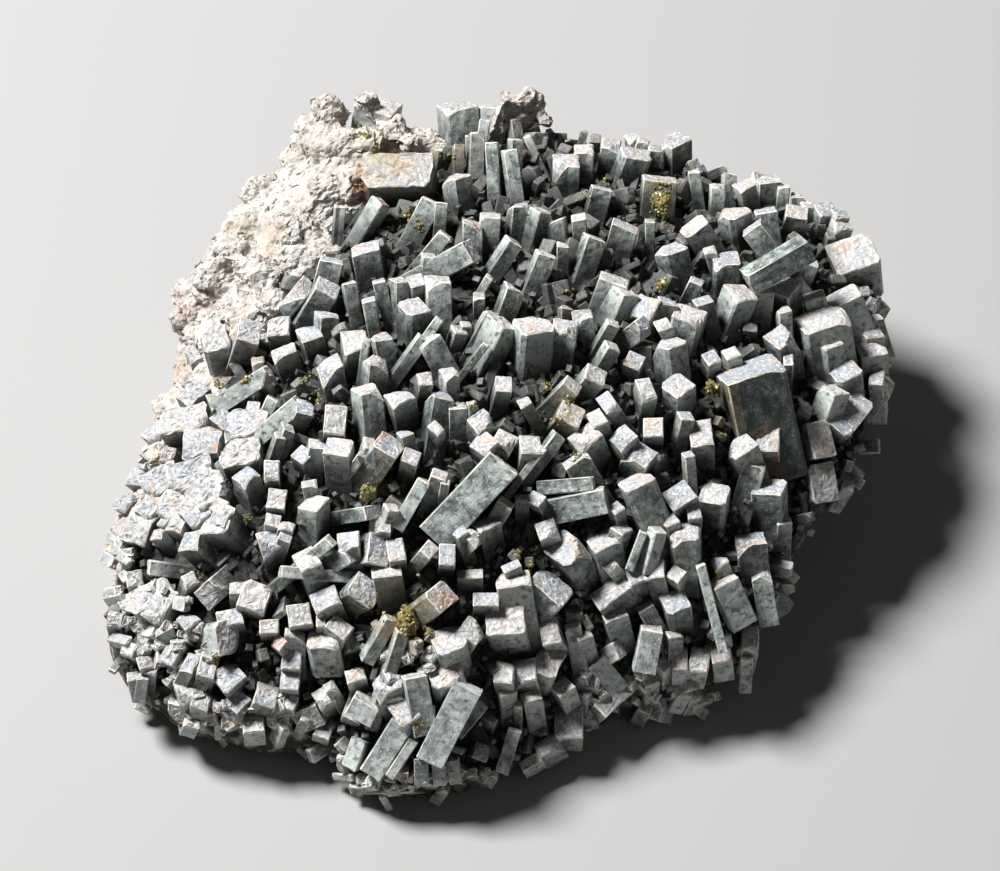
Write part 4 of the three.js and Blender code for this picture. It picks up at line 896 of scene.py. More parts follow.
def fused_share(point):
    """1 on the left flank, where the crystals' ends are grown together into plates, and 0 elsewhere."""
    from_middle = point - SIGHT_CENTRE
    x, y = from_middle.dot(RIGHT), from_middle.dot(UP)
    return smoothstep(-x, *FUSED_LEFT) * smoothstep(y, *FUSED_LOW) * (1 - smoothstep(y, *FUSED_HIGH))


def plates(point, size):
    """Flat, slightly tilted cells with cracks between them, as height in mm."""
    distances, centres = noise.voronoi(point / size)
    chance = noise.cell_vector(centres[0] * 3.7)
    offset = point / size - centres[0]
    tilted = (chance.x - 0.5) * offset.x + (chance.y - 0.5) * offset.y
    height = PLATE_RELIEF * (chance.z - 0.5) + PLATE_RELIEF * tilted
    crack = smoothstep(distances[1] - distances[0], 0.0, CRACK_WIDTH)
    return height * crack - CRACK_DEPTH * (1 - crack)


def crumbs(point, size):
    """Crumbly relief: rounded cells with dark gaps between them, from 0 to 1."""
    near, second = noise.voronoi(point / size)[0][:2]
    return min(1.0, (second - near) / CRUMB_EDGE) - 0.5 * near


print("fused share at the left rim:", fused_share(seen_at(-65, -5)))

# %% [markdown]
# The bed's mesh.
# Besides the shape, every point gets numbers to be used later: cover says where small crystals may stand,
# and dust how pale it is.

# %% Bed piece
CRUMB_RELIEF = 1.5
CRUMB_SIZE = 2.6
SWELL_RELIEF = 1.6
SWELL_SIZE = 5
FUSED_RISE = 3.0
LARGE_PLATE = 6.5
SMALL_PLATE = 2.2
WALL_COVER = 0.12
FUSED_DUST = 0.4

bed_verts, bed_cover, bed_dust = [], [], []
for a in range(BED_AROUND):
    angle = 2 * math.pi * a / BED_AROUND
    for number, (r, z) in enumerate(bed_profile(angle)):
        point = Vector((r * math.cos(angle), r * math.sin(angle), z))
        relief = crumbs(point, CRUMB_SIZE) * CRUMB_RELIEF
        relief += noise.fractal(point / SWELL_SIZE, 1.0, 2.0, 3) * SWELL_RELIEF
        fused = fused_share(point)
        plated = FUSED_RISE + plates(point, LARGE_PLATE) + 0.5 * plates(point, SMALL_PLATE)
        relief += (plated - relief) * fused
        bed_verts.append(tuple(to_frame(point + Vector((0, 0, 1)) * relief)))
        on_wall = WALL_COVER if number < BED_WALL_STEPS else 1.0
        bed_cover.append((1 - bareness(point.x, point.y)) * (1 - fused) * on_wall)
        bed_dust.append(FUSED_DUST * fused)
rows = BED_WALL_STEPS + BED_TOP_STEPS
middle, under = len(bed_verts), len(bed_verts) + 1
bed_verts += [tuple(to_frame(Vector((0, 0, z)))) for z in (DOME_HEIGHT - BED_DEPTH, 1)]
bed_cover += [1.0, 0.0]
bed_dust += [0.0, 0.0]
bed_faces = []
for a in range(BED_AROUND):
    here, after = a * rows, ((a + 1) % BED_AROUND) * rows
    for k in range(rows - 1):
        bed_faces.append((here + k, after + k, after + k + 1, here + k + 1))
    bed_faces.append((here + rows - 1, after + rows - 1, middle))
    bed_faces.append((after, here, under))
bed_mesh = new_mesh("crust_bed", bed_verts, bed_faces, [finish["crust bed"]])
keep_values(bed_mesh, "cover", "POINT", bed_cover)
keep_values(bed_mesh, "dust", "POINT", bed_dust)
print("bed:", len(bed_faces), "faces")

# %% [markdown]
# Gaps in the crust.
# Small crystals belong in the gaps between the large ones, not inside them. So the distance from every
# point of the bed to the nearest large crystal is found, and gap rises from 0 to 1 where there is room.

# %% Gaps between the crystals
GAP_FROM = 1.3
GAP_TO = 2.8
FAR_AWAY = 99.0

bed_points = np.array(bed_verts) / MM - np.array(DOME_MIDDLE)
to_nearest = np.full(len(bed_points), FAR_AWAY)
for tip, (axis, wide, deep), width, depth, length in placed:
    start, along = np.array(tip), -np.array(axis)
    run = np.clip((bed_points - start) @ along, 0, length)
    apart = np.linalg.norm(bed_points - (start + run[:, None] * along), axis=1) - (width + depth) / 4
    to_nearest = np.minimum(to_nearest, apart)
bed_gap = np.clip((to_nearest - GAP_FROM) / (GAP_TO - GAP_FROM), 0, 1) * np.array(bed_cover)
keep_values(bed_mesh, "gap", "POINT", bed_gap.astype(np.float32))
bed_mesh.update()
bed = new_piece("crust_bed", bed_mesh)
print("share of the bed that is free:", round(float(bed_gap.mean()), 2))

# %% [markdown]
# Small crystals between the large ones.
# Hundreds of small prisms fill the gaps. Placing them by hand would take days, and this is what
# Geometry Nodes are for: points are spread over the bed, a small crystal stands on each, turned a little
# away from the upright by chance, and the lot is made real at the end. The tree is built here with named
# inputs, so that the same tree can spread crystals, rock chips and grains.

# %% Helper for the nodes of a tree
def new_node(tree, kind, inputs=None, **settings):
    """Adds a node with its settings. An input that is given an output is linked, and any other is set."""
    node = tree.nodes.new(kind)
    for key, value in settings.items():
        setattr(node, key, value)
    for key, value in (inputs or {}).items():
        if isinstance(value, bpy.types.NodeSocket):
            tree.links.new(value, node.inputs[key])
        else:
            node.inputs[key].default_value = value
    return node


TREE_INPUTS = (
    ("Surface", "NodeSocketGeometry", None),
    ("Pieces", "NodeSocketCollection", None),
    ("Spacing", "NodeSocketFloat", 0.002),
    ("Density", "NodeSocketFloat", 100000.0),
    ("Cover", "NodeSocketString", "cover"),
    ("Smallest", "NodeSocketVector", (0.5, 0.5, 0.5)),
    ("Largest", "NodeSocketVector", (1.0, 1.0, 1.0)),
    ("Lean", "NodeSocketFloat", 0.5),
    ("Reach", "NodeSocketFloat", 0.0),
    ("Lowest corner", "NodeSocketVector", (-1, -1, -1)),
    ("Highest corner", "NodeSocketVector", (1, 1, 1)),
    ("Seed", "NodeSocketInt", 1),
)


def tree_with_inputs(name):
    """An empty Geometry Nodes tree with the named inputs, and the identifier of each."""
    tree = bpy.data.node_groups.new(name, "GeometryNodeTree")
    sockets = {}
    for label, kind, start in TREE_INPUTS:
        socket = tree.interface.new_socket(label, in_out="INPUT", socket_type=kind)
        if start is not None:
            socket.default_value = start
        sockets[label] = socket.identifier
    tree.interface.new_socket("Spread", in_out="OUTPUT", socket_type="NodeSocketGeometry")
    return tree, sockets


print("the spreading tree has", len(TREE_INPUTS), "inputs")

# %% [markdown]
# Parts of the spreading tree.
# Two parts of the tree have a job of their own. One turns each copy round by chance and tips it a little
# from the upright. The other keeps the tips of the copies inside a box, so that none stands past the solids.

# %% Parts of the spreading tree
FULL_TURN = (0, 0, 2 * math.pi)


def leaning(tree, upright, lean, seed):
    """Rotation of each copy: any way round, and tipped by up to `lean` radians."""
    low = new_node(tree, "ShaderNodeVectorMath", {0: lean, 1: (-1, -1, 0)}, operation="MULTIPLY")
    high = new_node(tree, "ShaderNodeVectorMath", {0: lean, 1: (1, 1, 0)}, operation="MULTIPLY")
    full = new_node(tree, "ShaderNodeVectorMath", {0: high.outputs[0], 1: FULL_TURN}, operation="ADD")
    limits = {"Min": low.outputs[0], "Max": full.outputs[0], "Seed": seed}
    turn = new_node(tree, "FunctionNodeRandomValue", limits, data_type="FLOAT_VECTOR")
    by = new_node(tree, "FunctionNodeEulerToRotation", {0: turn.outputs["Value"]})
    both = {"Rotation": upright, "Rotate By": by.outputs[0]}
    return new_node(tree, "FunctionNodeRotateRotation", both, rotation_space="LOCAL").outputs[0]


def inside_box(tree, point, lowest, highest):
    """True where a point lies between the lowest and the highest corner of a box."""
    kind = {"data_type": "VECTOR", "mode": "ELEMENT", "operation": "LESS_THAN"}
    above = new_node(tree, "FunctionNodeCompare", {4: lowest, 5: point}, **kind)
    below = new_node(tree, "FunctionNodeCompare", {4: point, 5: highest}, **kind)
    both = {0: above.outputs[0], 1: below.outputs[0]}
    return new_node(tree, "FunctionNodeBooleanMath", both, operation="AND").outputs[0]


print("a copy may be turned by up to", round(math.degrees(FULL_TURN[2])), "degrees")

# %% [markdown]
# The spreading tree.
# The tree spreads points, stands a piece on each, gives each copy its own tone and dust, makes the copies
# real and paints each face with the finish of its kind.

# %% Spreading tree
CHANCES = (("tone", 1.0), ("dust", 0.6))


def spreading_tree(name, finishes):
    """A Geometry Nodes tree that spreads the objects of a collection over a surface."""
    tree, sockets = tree_with_inputs(name)
    given = new_node(tree, "NodeGroupInput").outputs
    cover = new_node(tree, "GeometryNodeInputNamedAttribute", {"Name": given["Cover"]}, data_type="FLOAT")
    spread = new_node(tree, "GeometryNodeDistributePointsOnFaces", {
        "Mesh": given["Surface"], "Distance Min": given["Spacing"], "Density Max": given["Density"],
        "Density Factor": cover.outputs["Attribute"], "Seed": given["Seed"],
    }, distribute_method="POISSON")
    pieces = new_node(tree, "GeometryNodeCollectionInfo", {
        "Collection": given["Pieces"], "Separate Children": True, "Reset Children": True,
    })
    rotation = leaning(tree, spread.outputs["Rotation"], given["Lean"], given["Seed"])
    size = new_node(tree, "FunctionNodeRandomValue", {
        "Min": given["Smallest"], "Max": given["Largest"], "Seed": given["Seed"],
    }, data_type="FLOAT_VECTOR")
    outwards = new_node(tree, "ShaderNodeCombineXYZ", {"Z": given["Reach"]})
    turned = new_node(tree, "FunctionNodeRotateVector", {"Vector": outwards.outputs[0], "Rotation": rotation})
    here = new_node(tree, "GeometryNodeInputPosition")
    tip = new_node(tree, "ShaderNodeVectorMath", {0: here.outputs[0], 1: turned.outputs[0]}, operation="ADD")
    place = new_node(tree, "GeometryNodeInstanceOnPoints", {
        "Points": spread.outputs["Points"], "Instance": pieces.outputs[0], "Pick Instance": True,
        "Selection": inside_box(tree, tip.outputs[0], given["Lowest corner"], given["Highest corner"]),
        "Rotation": rotation, "Scale": size.outputs["Value"],
    })
    last = place.outputs["Instances"]
    for key, most in CHANCES:
        chance = new_node(tree, "FunctionNodeRandomValue", {2: 0.0, 3: most}, data_type="FLOAT")
        kept = {"Geometry": last, "Name": key, "Value": chance.outputs[1]}
        store = new_node(tree, "GeometryNodeStoreNamedAttribute", kept, data_type="FLOAT", domain="INSTANCE")
        last = store.outputs["Geometry"]
    last = new_node(tree, "GeometryNodeRealizeInstances", {"Geometry": last}).outputs["Geometry"]
    kind = new_node(tree, "GeometryNodeInputNamedAttribute", {"Name": "kind"}, data_type="INT")
    for number, material in enumerate(finishes):
        pair = {2: kind.outputs["Attribute"], 3: number}
        same = new_node(tree, "FunctionNodeCompare", pair, data_type="INT", operation="EQUAL")
        paint = {"Geometry": last, "Selection": same.outputs[0], "Material": material}
        last = new_node(tree, "GeometryNodeSetMaterial", paint).outputs["Geometry"]
    new_node(tree, "NodeGroupOutput", {0: last})
    return tree, sockets


def plain_mesh(carrier):
    """What an object's modifiers make, as a mesh of its own."""
    depsgraph = bpy.context.evaluated_depsgraph_get()
    return bpy.data.meshes.new_from_object(carrier.evaluated_get(depsgraph), depsgraph=depsgraph)


def spread_over(surface, name, tree_and_sockets, **values):
    """Runs the tree on a copy of `surface` and returns the result as a plain mesh object."""
    tree, sockets = tree_and_sockets
    carrier = surface.copy()
    bpy.context.scene.collection.objects.link(carrier)
    modifier = carrier.modifiers.new("spread", "NODES")
    modifier.node_group = tree
    for label, value in values.items():
        modifier[sockets[label]] = value
    mesh = plain_mesh(carrier)
    carrier.modifiers.remove(modifier)
    bpy.data.objects.remove(carrier)
    mesh.name = name
    print(name + ":", len(mesh.polygons), "faces")
    return new_piece(name, mesh)


crystal_spread = spreading_tree("Spread crystals", crystal_finishes)
print("nodes in the tree for crystals:", len(crystal_spread[0].nodes))

# %% [markdown]
# Patterns to spread.
# A few patterns are enough, because each copy is turned and stretched by chance. The upper layer uses
# small crystals from the same builder as the large ones. The lower layer is hardly seen, so it gets short
# stubs instead. A pattern is hidden, and only its copies are shown.

# %% Patterns for the small crystals
PATTERN_LENGTH = 9.0
PATTERN_DEPTH = (0.7, 1.1)
SMALL_COUNT = 7
SMALL_WIDTH = (1.9, 2.8)
SMALL_ROUGHNESS = 0.15
SMALL_STANDS = 4.2


def pattern_collection(name):
    """A collection that the spreading tree picks its pieces from."""
    collection = bpy.data.collections.new(name)
    bpy.context.scene.collection.children.link(collection)
    return collection


def keep_as_pattern(piece, kinds, collection):
    """Marks each face's kind and hides the piece: only its copies are shown."""
    piece.data.attributes.new("kind", "INT", "FACE").data.foreach_set("value", kinds)
    for key in ("tone", "dust"):
        found = piece.data.attributes.get(key)
        if found:
            piece.data.attributes.remove(found)
    bpy.context.scene.collection.objects.unlink(piece)
    collection.objects.link(piece)
    piece.hide_render = True


def keep_crystal_pattern(name, mesh_lists, stands, collection):
    """Keeps a small crystal whose cap stands `stands` mm above the surface."""
    local, faces, kinds, uvs = mesh_lists
    pattern = MeshParts()
    pattern.add([(x * MM, y * MM, (z + stands) * MM) for x, y, z in local], faces, kinds, uvs)
    keep_as_pattern(pattern.make(name, crystal_finishes), kinds, collection)


small_patterns = pattern_collection("small crystal patterns")
for number in range(SMALL_COUNT):
    width = rng.uniform(*SMALL_WIDTH)
    depth = width * rng.uniform(*PATTERN_DEPTH)
    made = crystal_mesh(width, depth, PATTERN_LENGTH, rng, SMALL_ROUGHNESS)
    keep_crystal_pattern("small_crystal_%d" % number, made, SMALL_STANDS, small_patterns)

# %% [markdown]
# Stubs for the depths.
# The stubs are made from three rings of four points, because the builder above would give each a
# hundred faces. Two of the rings make the worn edge, and the cap slopes a little.

# %% Patterns for the stubs
STUB_COUNT = 5
STUB_WIDTH = (1.7, 2.6)
STUB_STANDS = 5.5
STUB_SLOPE = 0.12
STUB_CAP = 0.86


def stub_mesh(width, depth, length, rng):
    """A short crystal for the depths: four sides, a worn edge all round and one slightly sloping cap."""
    lean = Vector((rng.normal(0, STUB_SLOPE), rng.normal(0, STUB_SLOPE)))
    verts = []
    for size, place in ((1.0, -length), (1.0, -EDGE_WEAR), (STUB_CAP, 0.0)):
        for sx, sy in ((-1, -1), (1, -1), (1, 1), (-1, 1)):
            x, y = sx * width / 2 * size, sy * depth / 2 * size
            verts.append((x, y, place + (lean.x * x + lean.y * y) * (place > -length)))
    faces, uvs = [], []
    for ring in range(2):
        for k in range(4):
            n = (k + 1) % 4
            faces.append((ring * 4 + k, ring * 4 + n, ring * 4 + 4 + n, ring * 4 + 4 + k))
            uvs += [(verts[v][0] + verts[v][1], verts[v][2]) for v in faces[-1]]
    for cap in ((8, 9, 10, 11), (3, 2, 1, 0)):
        faces.append(cap)
        uvs += [(verts[v][0], verts[v][1]) for v in cap]
    return verts, faces, [SIDE] * 4 + [WORN] * 4 + [CAP, SIDE], uvs


stub_patterns = pattern_collection("stub crystal patterns")
for number in range(STUB_COUNT):
    width = rng.uniform(*STUB_WIDTH)
    depth = width * rng.uniform(*PATTERN_DEPTH)
    made = stub_mesh(width, depth, PATTERN_LENGTH, rng)
    keep_crystal_pattern("stub_crystal_%d" % number, made, STUB_STANDS, stub_patterns)

# %% [markdown]
# Spread over the bed.
# The small crystals stand only where the gaps are wide, and the stubs wherever the bed isn't bare. Both are
# thinned by the least spacing between two of them, in metres.

# %% Spread the small crystals
SMALL_REACH = 6.2 * MM
BOX_MARGIN = Vector((0.9, 0.9, 0.7)) * MM
inner_box = {
    "Lowest corner": tuple(Vector(cad_box[0]) + BOX_MARGIN),
    "Highest corner": tuple(Vector(cad_box[1]) - BOX_MARGIN),
}
small_crystals = spread_over(
    bed, "small_crystals", crystal_spread,
    Pieces=small_patterns, Spacing=0.0025, Density=260000.0, Cover="gap",
    Smallest=(0.6, 0.6, 0.7), Largest=(1.35, 1.35, 1.05), Lean=0.5, Reach=SMALL_REACH, Seed=11, **inner_box,
)
stub_crystals = spread_over(
    bed, "stub_crystals", crystal_spread,
    Pieces=stub_patterns, Spacing=0.002, Density=400000.0, Cover="cover",
    Smallest=(0.3, 0.3, 0.25), Largest=(0.8, 0.8, 0.5), Lean=0.8, Reach=0.6 * SMALL_REACH, Seed=17,
    **inner_box,
)

# %% [markdown]
# The rock.
# The rock is a lump of grains, pale where it is bare and painted dark towards the right, as shade. The solid
# in the frame has its form, so a copy is merged and remeshed into even faces, and every point is moved in by
# layered
# noise: angular chunks first, then grains. Moving points only inwards keeps the rock's size.

# %% Even faces for the rock
ROCK_VOXEL = 0.88
WELD_WITHIN = 0.02
LUMP_ROUNDNESS = 3
# Small lumps that fill the creases of the top lobes: x and y on the sight plane, radius.
ROCK_FILLS = [
    (-38, 60.2, 4.6), (-36, 57, 5.2), (-31, 57.4, 4.8), (-34.4, 64.4, 4.4), (-24.4, 62.4, 3.6),
    (-21.4, 61.2, 4), (-26.4, 58.2, 4), (-53.6, 36.4, 4.6), (-58.4, 30.6, 4.4), (-63.2, 23, 3.6),
    (4.4, 65.4, 3.2), (7.4, 66.2, 2.6), (1.6, 66.4, 2.4), (5.4, 68, 2.2), (9, 62.6, 2.4),
]


def as_it_is(place):
    """The rule that moves nothing."""
    return place


def add_mesh(verts, faces, mesh, moved=as_it_is):
    """Adds a mesh to lists of points and faces, with each point moved by a rule."""
    start = len(verts)
    verts += [tuple(moved(v.co)) for v in mesh.vertices]
    faces += [tuple(start + v for v in polygon.vertices) for polygon in mesh.polygons]


def merged_copy(node, name, lumps):
    """A node's mesh with round lumps added, welded and remeshed into even faces."""
    verts, faces = [], []
    add_mesh(verts, faces, frame["nodes"][node].data)
    for x, y, radius in lumps:
        place = to_frame(seen_at(x, y))
        bpy.ops.mesh.primitive_ico_sphere_add(
            subdivisions=LUMP_ROUNDNESS, radius=radius * MM, location=place,
        )
        lump = bpy.context.object
        add_mesh(verts, faces, lump.data, lambda point: lump.matrix_world @ point)
        bpy.data.objects.remove(lump)
    piece = new_piece(name, new_mesh(name, verts, faces, []))
    piece.modifiers.new("weld", "WELD").merge_threshold = WELD_WITHIN * MM
    remesh = piece.modifiers.new("even faces", "REMESH")
    remesh.mode = "VOXEL"
    remesh.voxel_size = ROCK_VOXEL * MM
    mesh = plain_mesh(piece)
    piece.modifiers.clear()
    piece.data = mesh
    return piece


rock = merged_copy("matrix", "rock", ROCK_FILLS)
print("even faces of the rock:", len(rock.data.polygons))

# %% [markdown]
# The rock's relief.
# The top is chunks a few millimetres wide, with grains on them, and the wall is rougher and more broken.
# The foot stays flat. Where rock shows between the crystals, cover tells the chips where to lie.

# %% Rock piece
CHUNK = 5.5
CHUNK_RELIEF = 0.34
CHUNK_SHIFT = Vector((3, 5, 7))
GRAIN = 2.0
GRAIN_RELIEF = 0.16
FINE_GRAIN = 1.6
FINE_RELIEF = 0.12
WALL_CHUNK = 8
WALL_RELIEF = 0.7
WALL_SWELL = 0.6
WALL_DEEPER = 0.5
WALL_SLOPE = (0.2, 0.6)
FLAT_FOOT = (0.0, 2.0)
RELIEF_LEVEL = 0.25
MOST_OUT = 0.1
MOST_IN = 0.9
MOST_IN_ON_WALL = 1.3
CHIPS_WITHIN = 7
RIM_SHRINK = 0.99


def rock_dent(point, slope):
    """How far in mm a point of the rock is moved in; below 0 it is moved out."""
    relief = CHUNK_RELIEF * plates(point + CHUNK_SHIFT, CHUNK) + GRAIN_RELIEF * plates(point, GRAIN)
    relief += FINE_RELIEF * noise.fractal(point / FINE_GRAIN, 1.0, 2.0, 3)
    wall = 1 - smoothstep(slope, *WALL_SLOPE)
    swell = noise.fractal(point / WALL_CHUNK, 1.0, 2.0, 3)
    relief += wall * (WALL_RELIEF * plates(point, WALL_CHUNK) + WALL_SWELL * swell - WALL_DEEPER)
    dent = min(MOST_IN + MOST_IN_ON_WALL * wall, max(-MOST_OUT, RELIEF_LEVEL - relief))
    return dent * smoothstep(point.z, *FLAT_FOOT)


rock_mesh = rock.data
rock_mesh.materials.clear()
rock_mesh.materials.append(finish["bare rock"])
rock_normals = [v.normal.copy() for v in rock_mesh.vertices]
bare_values = []
for vertex, normal in zip(rock_mesh.vertices, rock_normals):
    point = vertex.co / MM
    vertex.co -= normal * (rock_dent(point, normal.z) * MM)
    local = point - DOME_MIDDLE
    below_dome = dome_height(local.x * RIM_SHRINK, local.y * RIM_SHRINK) - point.z
    bare_values.append(bareness(local.x, local.y) * (below_dome < CHIPS_WITHIN))
keep_values(rock_mesh, "cover", "POINT", bare_values)
for polygon in rock_mesh.polygons:
    polygon.use_smooth = False
print("rock:", len(rock_mesh.polygons), "faces")

# %% [markdown]
# Rock chips.
# The bare slope is covered with broken, angular chips of feldspar and calcite. The tree that spread the
# small crystals spreads these too: only the patterns and the sizes change.

# %% Rock chips piece
CHIP_COUNT = 6
CHIP_ACROSS = (0.5, 1.1)
CHIP_THICK = (0.4, 0.9)
CHIP_FACES = [(0, 1, 3, 2), (4, 6, 7, 5), (0, 4, 5, 1), (2, 3, 7, 6), (0, 2, 6, 4), (1, 5, 7, 3)]
BLOCK_CORNERS = list(itertools.product((-1, 1), repeat=3))
CHIP_REACH_OUT = 1.2 * MM

chip_patterns = pattern_collection("rock chip patterns")
for number in range(CHIP_COUNT):
    chip = MeshParts()
    corners = []
    for corner in BLOCK_CORNERS:
        reach = (rng.uniform(*CHIP_ACROSS), rng.uniform(*CHIP_ACROSS), rng.uniform(*CHIP_THICK))
        corners.append(tuple(side * away * MM for side, away in zip(corner, reach)))
    kinds = [0] * len(CHIP_FACES)
    chip.add(corners, CHIP_FACES, kinds, [(0, 0)] * 4 * len(CHIP_FACES))
    keep_as_pattern(chip.make("rock_chip_%d" % number, [finish["bare rock"]]), kinds, chip_patterns)
chip_spread = spreading_tree("Spread rock chips", [finish["bare rock"]])
rock_chips = spread_over(
    rock, "rock_chips", chip_spread,
    Pieces=chip_patterns, Spacing=0.0016, Density=160000.0, Cover="cover",
    Smallest=(0.25, 0.25, 0.15), Largest=(0.9, 0.8, 0.5), Lean=0.5, Reach=CHIP_REACH_OUT, Seed=5, **inner_box,
)

# %% [markdown]
# Epidote.
# Epidote grows as granular, yellow-green to golden knobs and crumbs between the uralite crystals.
# The five knobs of the frame get a coat of small grains from the spreading tree. Each grain is a faceted
# ball with its points pushed in and out, which is enough for a shape so small.

# %% Epidote knobs
KNOB_NODES = ["epidote_knob_%d" % number for number in range(1, 6)]
KNOB_SQUEEZE = Vector((0.6, 0.85, 1))
GRAIN_COUNT = 4
GRAIN_RADIUS = 0.5
GRAIN_UNEVEN = (0.75, 1.2)


def grain_pattern(number):
    """A small faceted grain: an icosphere with its points pushed in and out."""
    bpy.ops.mesh.primitive_ico_sphere_add(subdivisions=1, radius=GRAIN_RADIUS * MM)
    grain = bpy.context.object
    grain.name = "epidote_grain_%d" % number
    for vertex in grain.data.vertices:
        vertex.co *= rng.uniform(*GRAIN_UNEVEN)
    return grain


grain_patterns = pattern_collection("epidote grain patterns")
for number in range(GRAIN_COUNT):
    grain = grain_pattern(number)
    for collection in list(grain.users_collection):
        collection.objects.unlink(grain)
    grain.data.attributes.new("kind", "INT", "FACE")
    grain_patterns.objects.link(grain)
    grain.hide_render = True
knob_verts, knob_faces = [], []
for node in KNOB_NODES:
    source = frame["nodes"][node].data
    centre = sum((v.co for v in source.vertices), Vector()) / len(source.vertices)
    add_mesh(knob_verts, knob_faces, source, lambda point: centre + (point - centre) * KNOB_SQUEEZE)
knob_mesh = new_mesh("epidote_knobs", knob_verts, knob_faces, [finish["epidote"]])
keep_values(knob_mesh, "cover", "POINT", [1.0] * len(knob_verts))
epidote_knobs = new_piece("epidote_knobs", knob_mesh)
grain_spread = spreading_tree("Spread grains", [finish["epidote"]])
epidote_grains = spread_over(
    epidote_knobs, "epidote_grains", grain_spread,
    Pieces=grain_patterns, Spacing=0.0007, Density=2400000.0, Cover="cover",
    Smallest=(0.5, 0.5, 0.4), Largest=(1.5, 1.1, 0.9), Lean=3.0, Seed=3,
)

# %% [markdown]
# Where a ray meets the specimen.
# A patch of grains has to sit on whatever crystal is there. A ray cast from the eye through its place on
# the sight plane finds the surface and the way that it faces, and a BVH tree makes the search quick.

# %% Rays from the eye onto the crystals
EPIDOTE_PATCHES = [
    (31.6, 43.5, 2.6), (32.4, 49.1, 2.2), (42.5, 9, 1.2), (45, 0.1, 1.4), (-10.6, 55.5, 1.6),
    (-21.6, 41.1, 1.6), (16.8, 47.5, 1.6), (20.6, 50.9, 1.4), (-38.8, 11.3, 1.6), (-37, 7.5, 1.4),
    (-23.5, -9.5, 1.8), (13.4, 6.7, 1.8),
    (11.4, 2.5, 1.6), (15, -4.4, 1.4), (4.2, -23.5, 1.2), (7, -23, 1), (6, -26, 1), (-16.4, -39.6, 1.8),
    (-14.8, -39.7, 1.2), (-16.5, -57.5, 1.4), (-34, -47, 1.2), (-26.5, -35, 1.2), (-50.5, -16.5, 1.2),
    (-51, 11.5, 1.4), (-56, 10.5, 1.2), (-59.6, -27.7, 1.2), (-57, -44.5, 1.2), (-29, 61, 1.6),
    (-27, 60, 1.2), (-13, 50, 1.8), (-19, 44, 1.8), (-16, 42, 1.4),
    (-5.5, 6, 1.2), (43.5, -28, 1.2), (14, 28.5, 1.2), (9.5, 9.5, 1.4), (-24, -36, 1.6), (-19, -35.5, 1.4),
]
GRAINS_EACH = 15
PATCH_GRAIN = (0.4, 1.1)
# Grains are this much larger than their pattern in the middle of a patch, and smaller at its edge.
MIDDLE_GRAIN = 1.2
EDGE_SMALLER = 0.6

surface_verts, surface_faces = [], []
for piece in (crystals, bed, small_crystals, stub_crystals, rock):
    add_mesh(surface_verts, surface_faces, piece.data)
surface = BVHTree.FromPolygons(surface_verts, surface_faces)
eye = to_frame(SIGHT_CENTRE + TOWARDS * EYE_DISTANCE)


def met_at(x, y):
    """Where the line from the eye through (x, y) on the sight plane first meets the specimen."""
    aim = to_frame(sight_point(x, y, 0)) - eye
    place, normal, _, _ = surface.ray_cast(eye, aim.normalized())
    return place, normal


patch_verts, patch_faces = [], []
for x, y, radius in EPIDOTE_PATCHES:
    for _ in range(GRAINS_EACH):
        away, turn = radius * math.sqrt(rng.uniform()), rng.uniform(0, 2 * math.pi)
        place, normal = met_at(x + away * math.cos(turn), y + away * math.sin(turn))
        if place is None:
            continue
        pattern = grain_patterns.objects[int(rng.integers(GRAIN_COUNT))].data
        size = rng.uniform(*PATCH_GRAIN) * (MIDDLE_GRAIN - EDGE_SMALLER * away / radius)
        spin = Matrix.Rotation(rng.uniform(0, 6.28), 3, normal)
        add_mesh(patch_verts, patch_faces, pattern, lambda point: place + spin @ (point * size))
patch_mesh = new_mesh("epidote_patches", patch_verts, patch_faces, [finish["epidote"]])
epidote_patches = new_piece("epidote_patches", patch_mesh)
print("epidote patches:", len(patch_faces), "faces")

# %% [markdown]
# Stains.
# Iron has stained a few crystals rust-brown, and epidote dust tints others olive. The stains belong to
# places, so each face gets two numbers that fall away with its distance from the stain's middle. The same
# helper marks a spot of painted shade on the rock.

# %% Rust and olive stains
RUST_STAINS = [
    (54.5, -5, 1.8), (52.6, -17.7, 1.6), (-67, -4.3, 1.8), (-56, -2.7, 1.6), (-44, -40.5, 2),
    (5, 22.5, 2), (-24, -1, 2), (-11, -33.5, 2.4), (-22, 45, 2.5), (-27, 49.5, 3), (-14, 54.5, 3),
    (-24, 56, 2),
]
# Painted shade: the hollow of the ear at the top is painted dark, as the deep shade that lies in it.
EAR_SHADE = [(8.5, 61.5, 4)]
STAIN_DEPTH = 2
STAIN_EDGE = 1.4
OLIVE_STAINS = [
    (-19, -36, 7), (32, 46, 6), (-24, -10, 4), (12, 4, 5), (-52, 11, 6), (14, 28, 4), (-10, 56, 5),
    (44, 4, 4), (-20.6, 53.4, 9), (-26, 58, 4), (4, 59.5, 4), (-33, 60, 5),
]


def stain_and_shade_faces(piece, key, stains):
    """Tells each face how strong the nearest spot is there, from 0 to 1. The spots are stains, and on the
    rock also painted shade.
    """
    mesh = piece.data
    centres = np.zeros(len(mesh.polygons) * 3, np.float32)
    mesh.polygons.foreach_get("center", centres)
    centres = centres.reshape(-1, 3)
    strength = np.zeros(len(mesh.polygons), np.float32)
    for x, y, reach in stains:
        middle = np.array(to_frame(seen_at(x, y, -STAIN_DEPTH)))
        away = np.linalg.norm(centres - middle, axis=1) / (reach * MM)
        strength = np.maximum(strength, np.clip(STAIN_EDGE - away, 0, 1))
    keep_values(mesh, key, "FACE", strength)


# Painted shade in the ear's hollow, kept with the depth shade of the other pieces.
stain_and_shade_faces(rock, "deep", EAR_SHADE)
for piece in (crystals, small_crystals, stub_crystals, bed, rock):
    stain_and_shade_faces(piece, "rust", RUST_STAINS)
    stain_and_shade_faces(piece, "olive", OLIVE_STAINS)
print("stains:", len(RUST_STAINS), "rust and", len(OLIVE_STAINS), "olive")
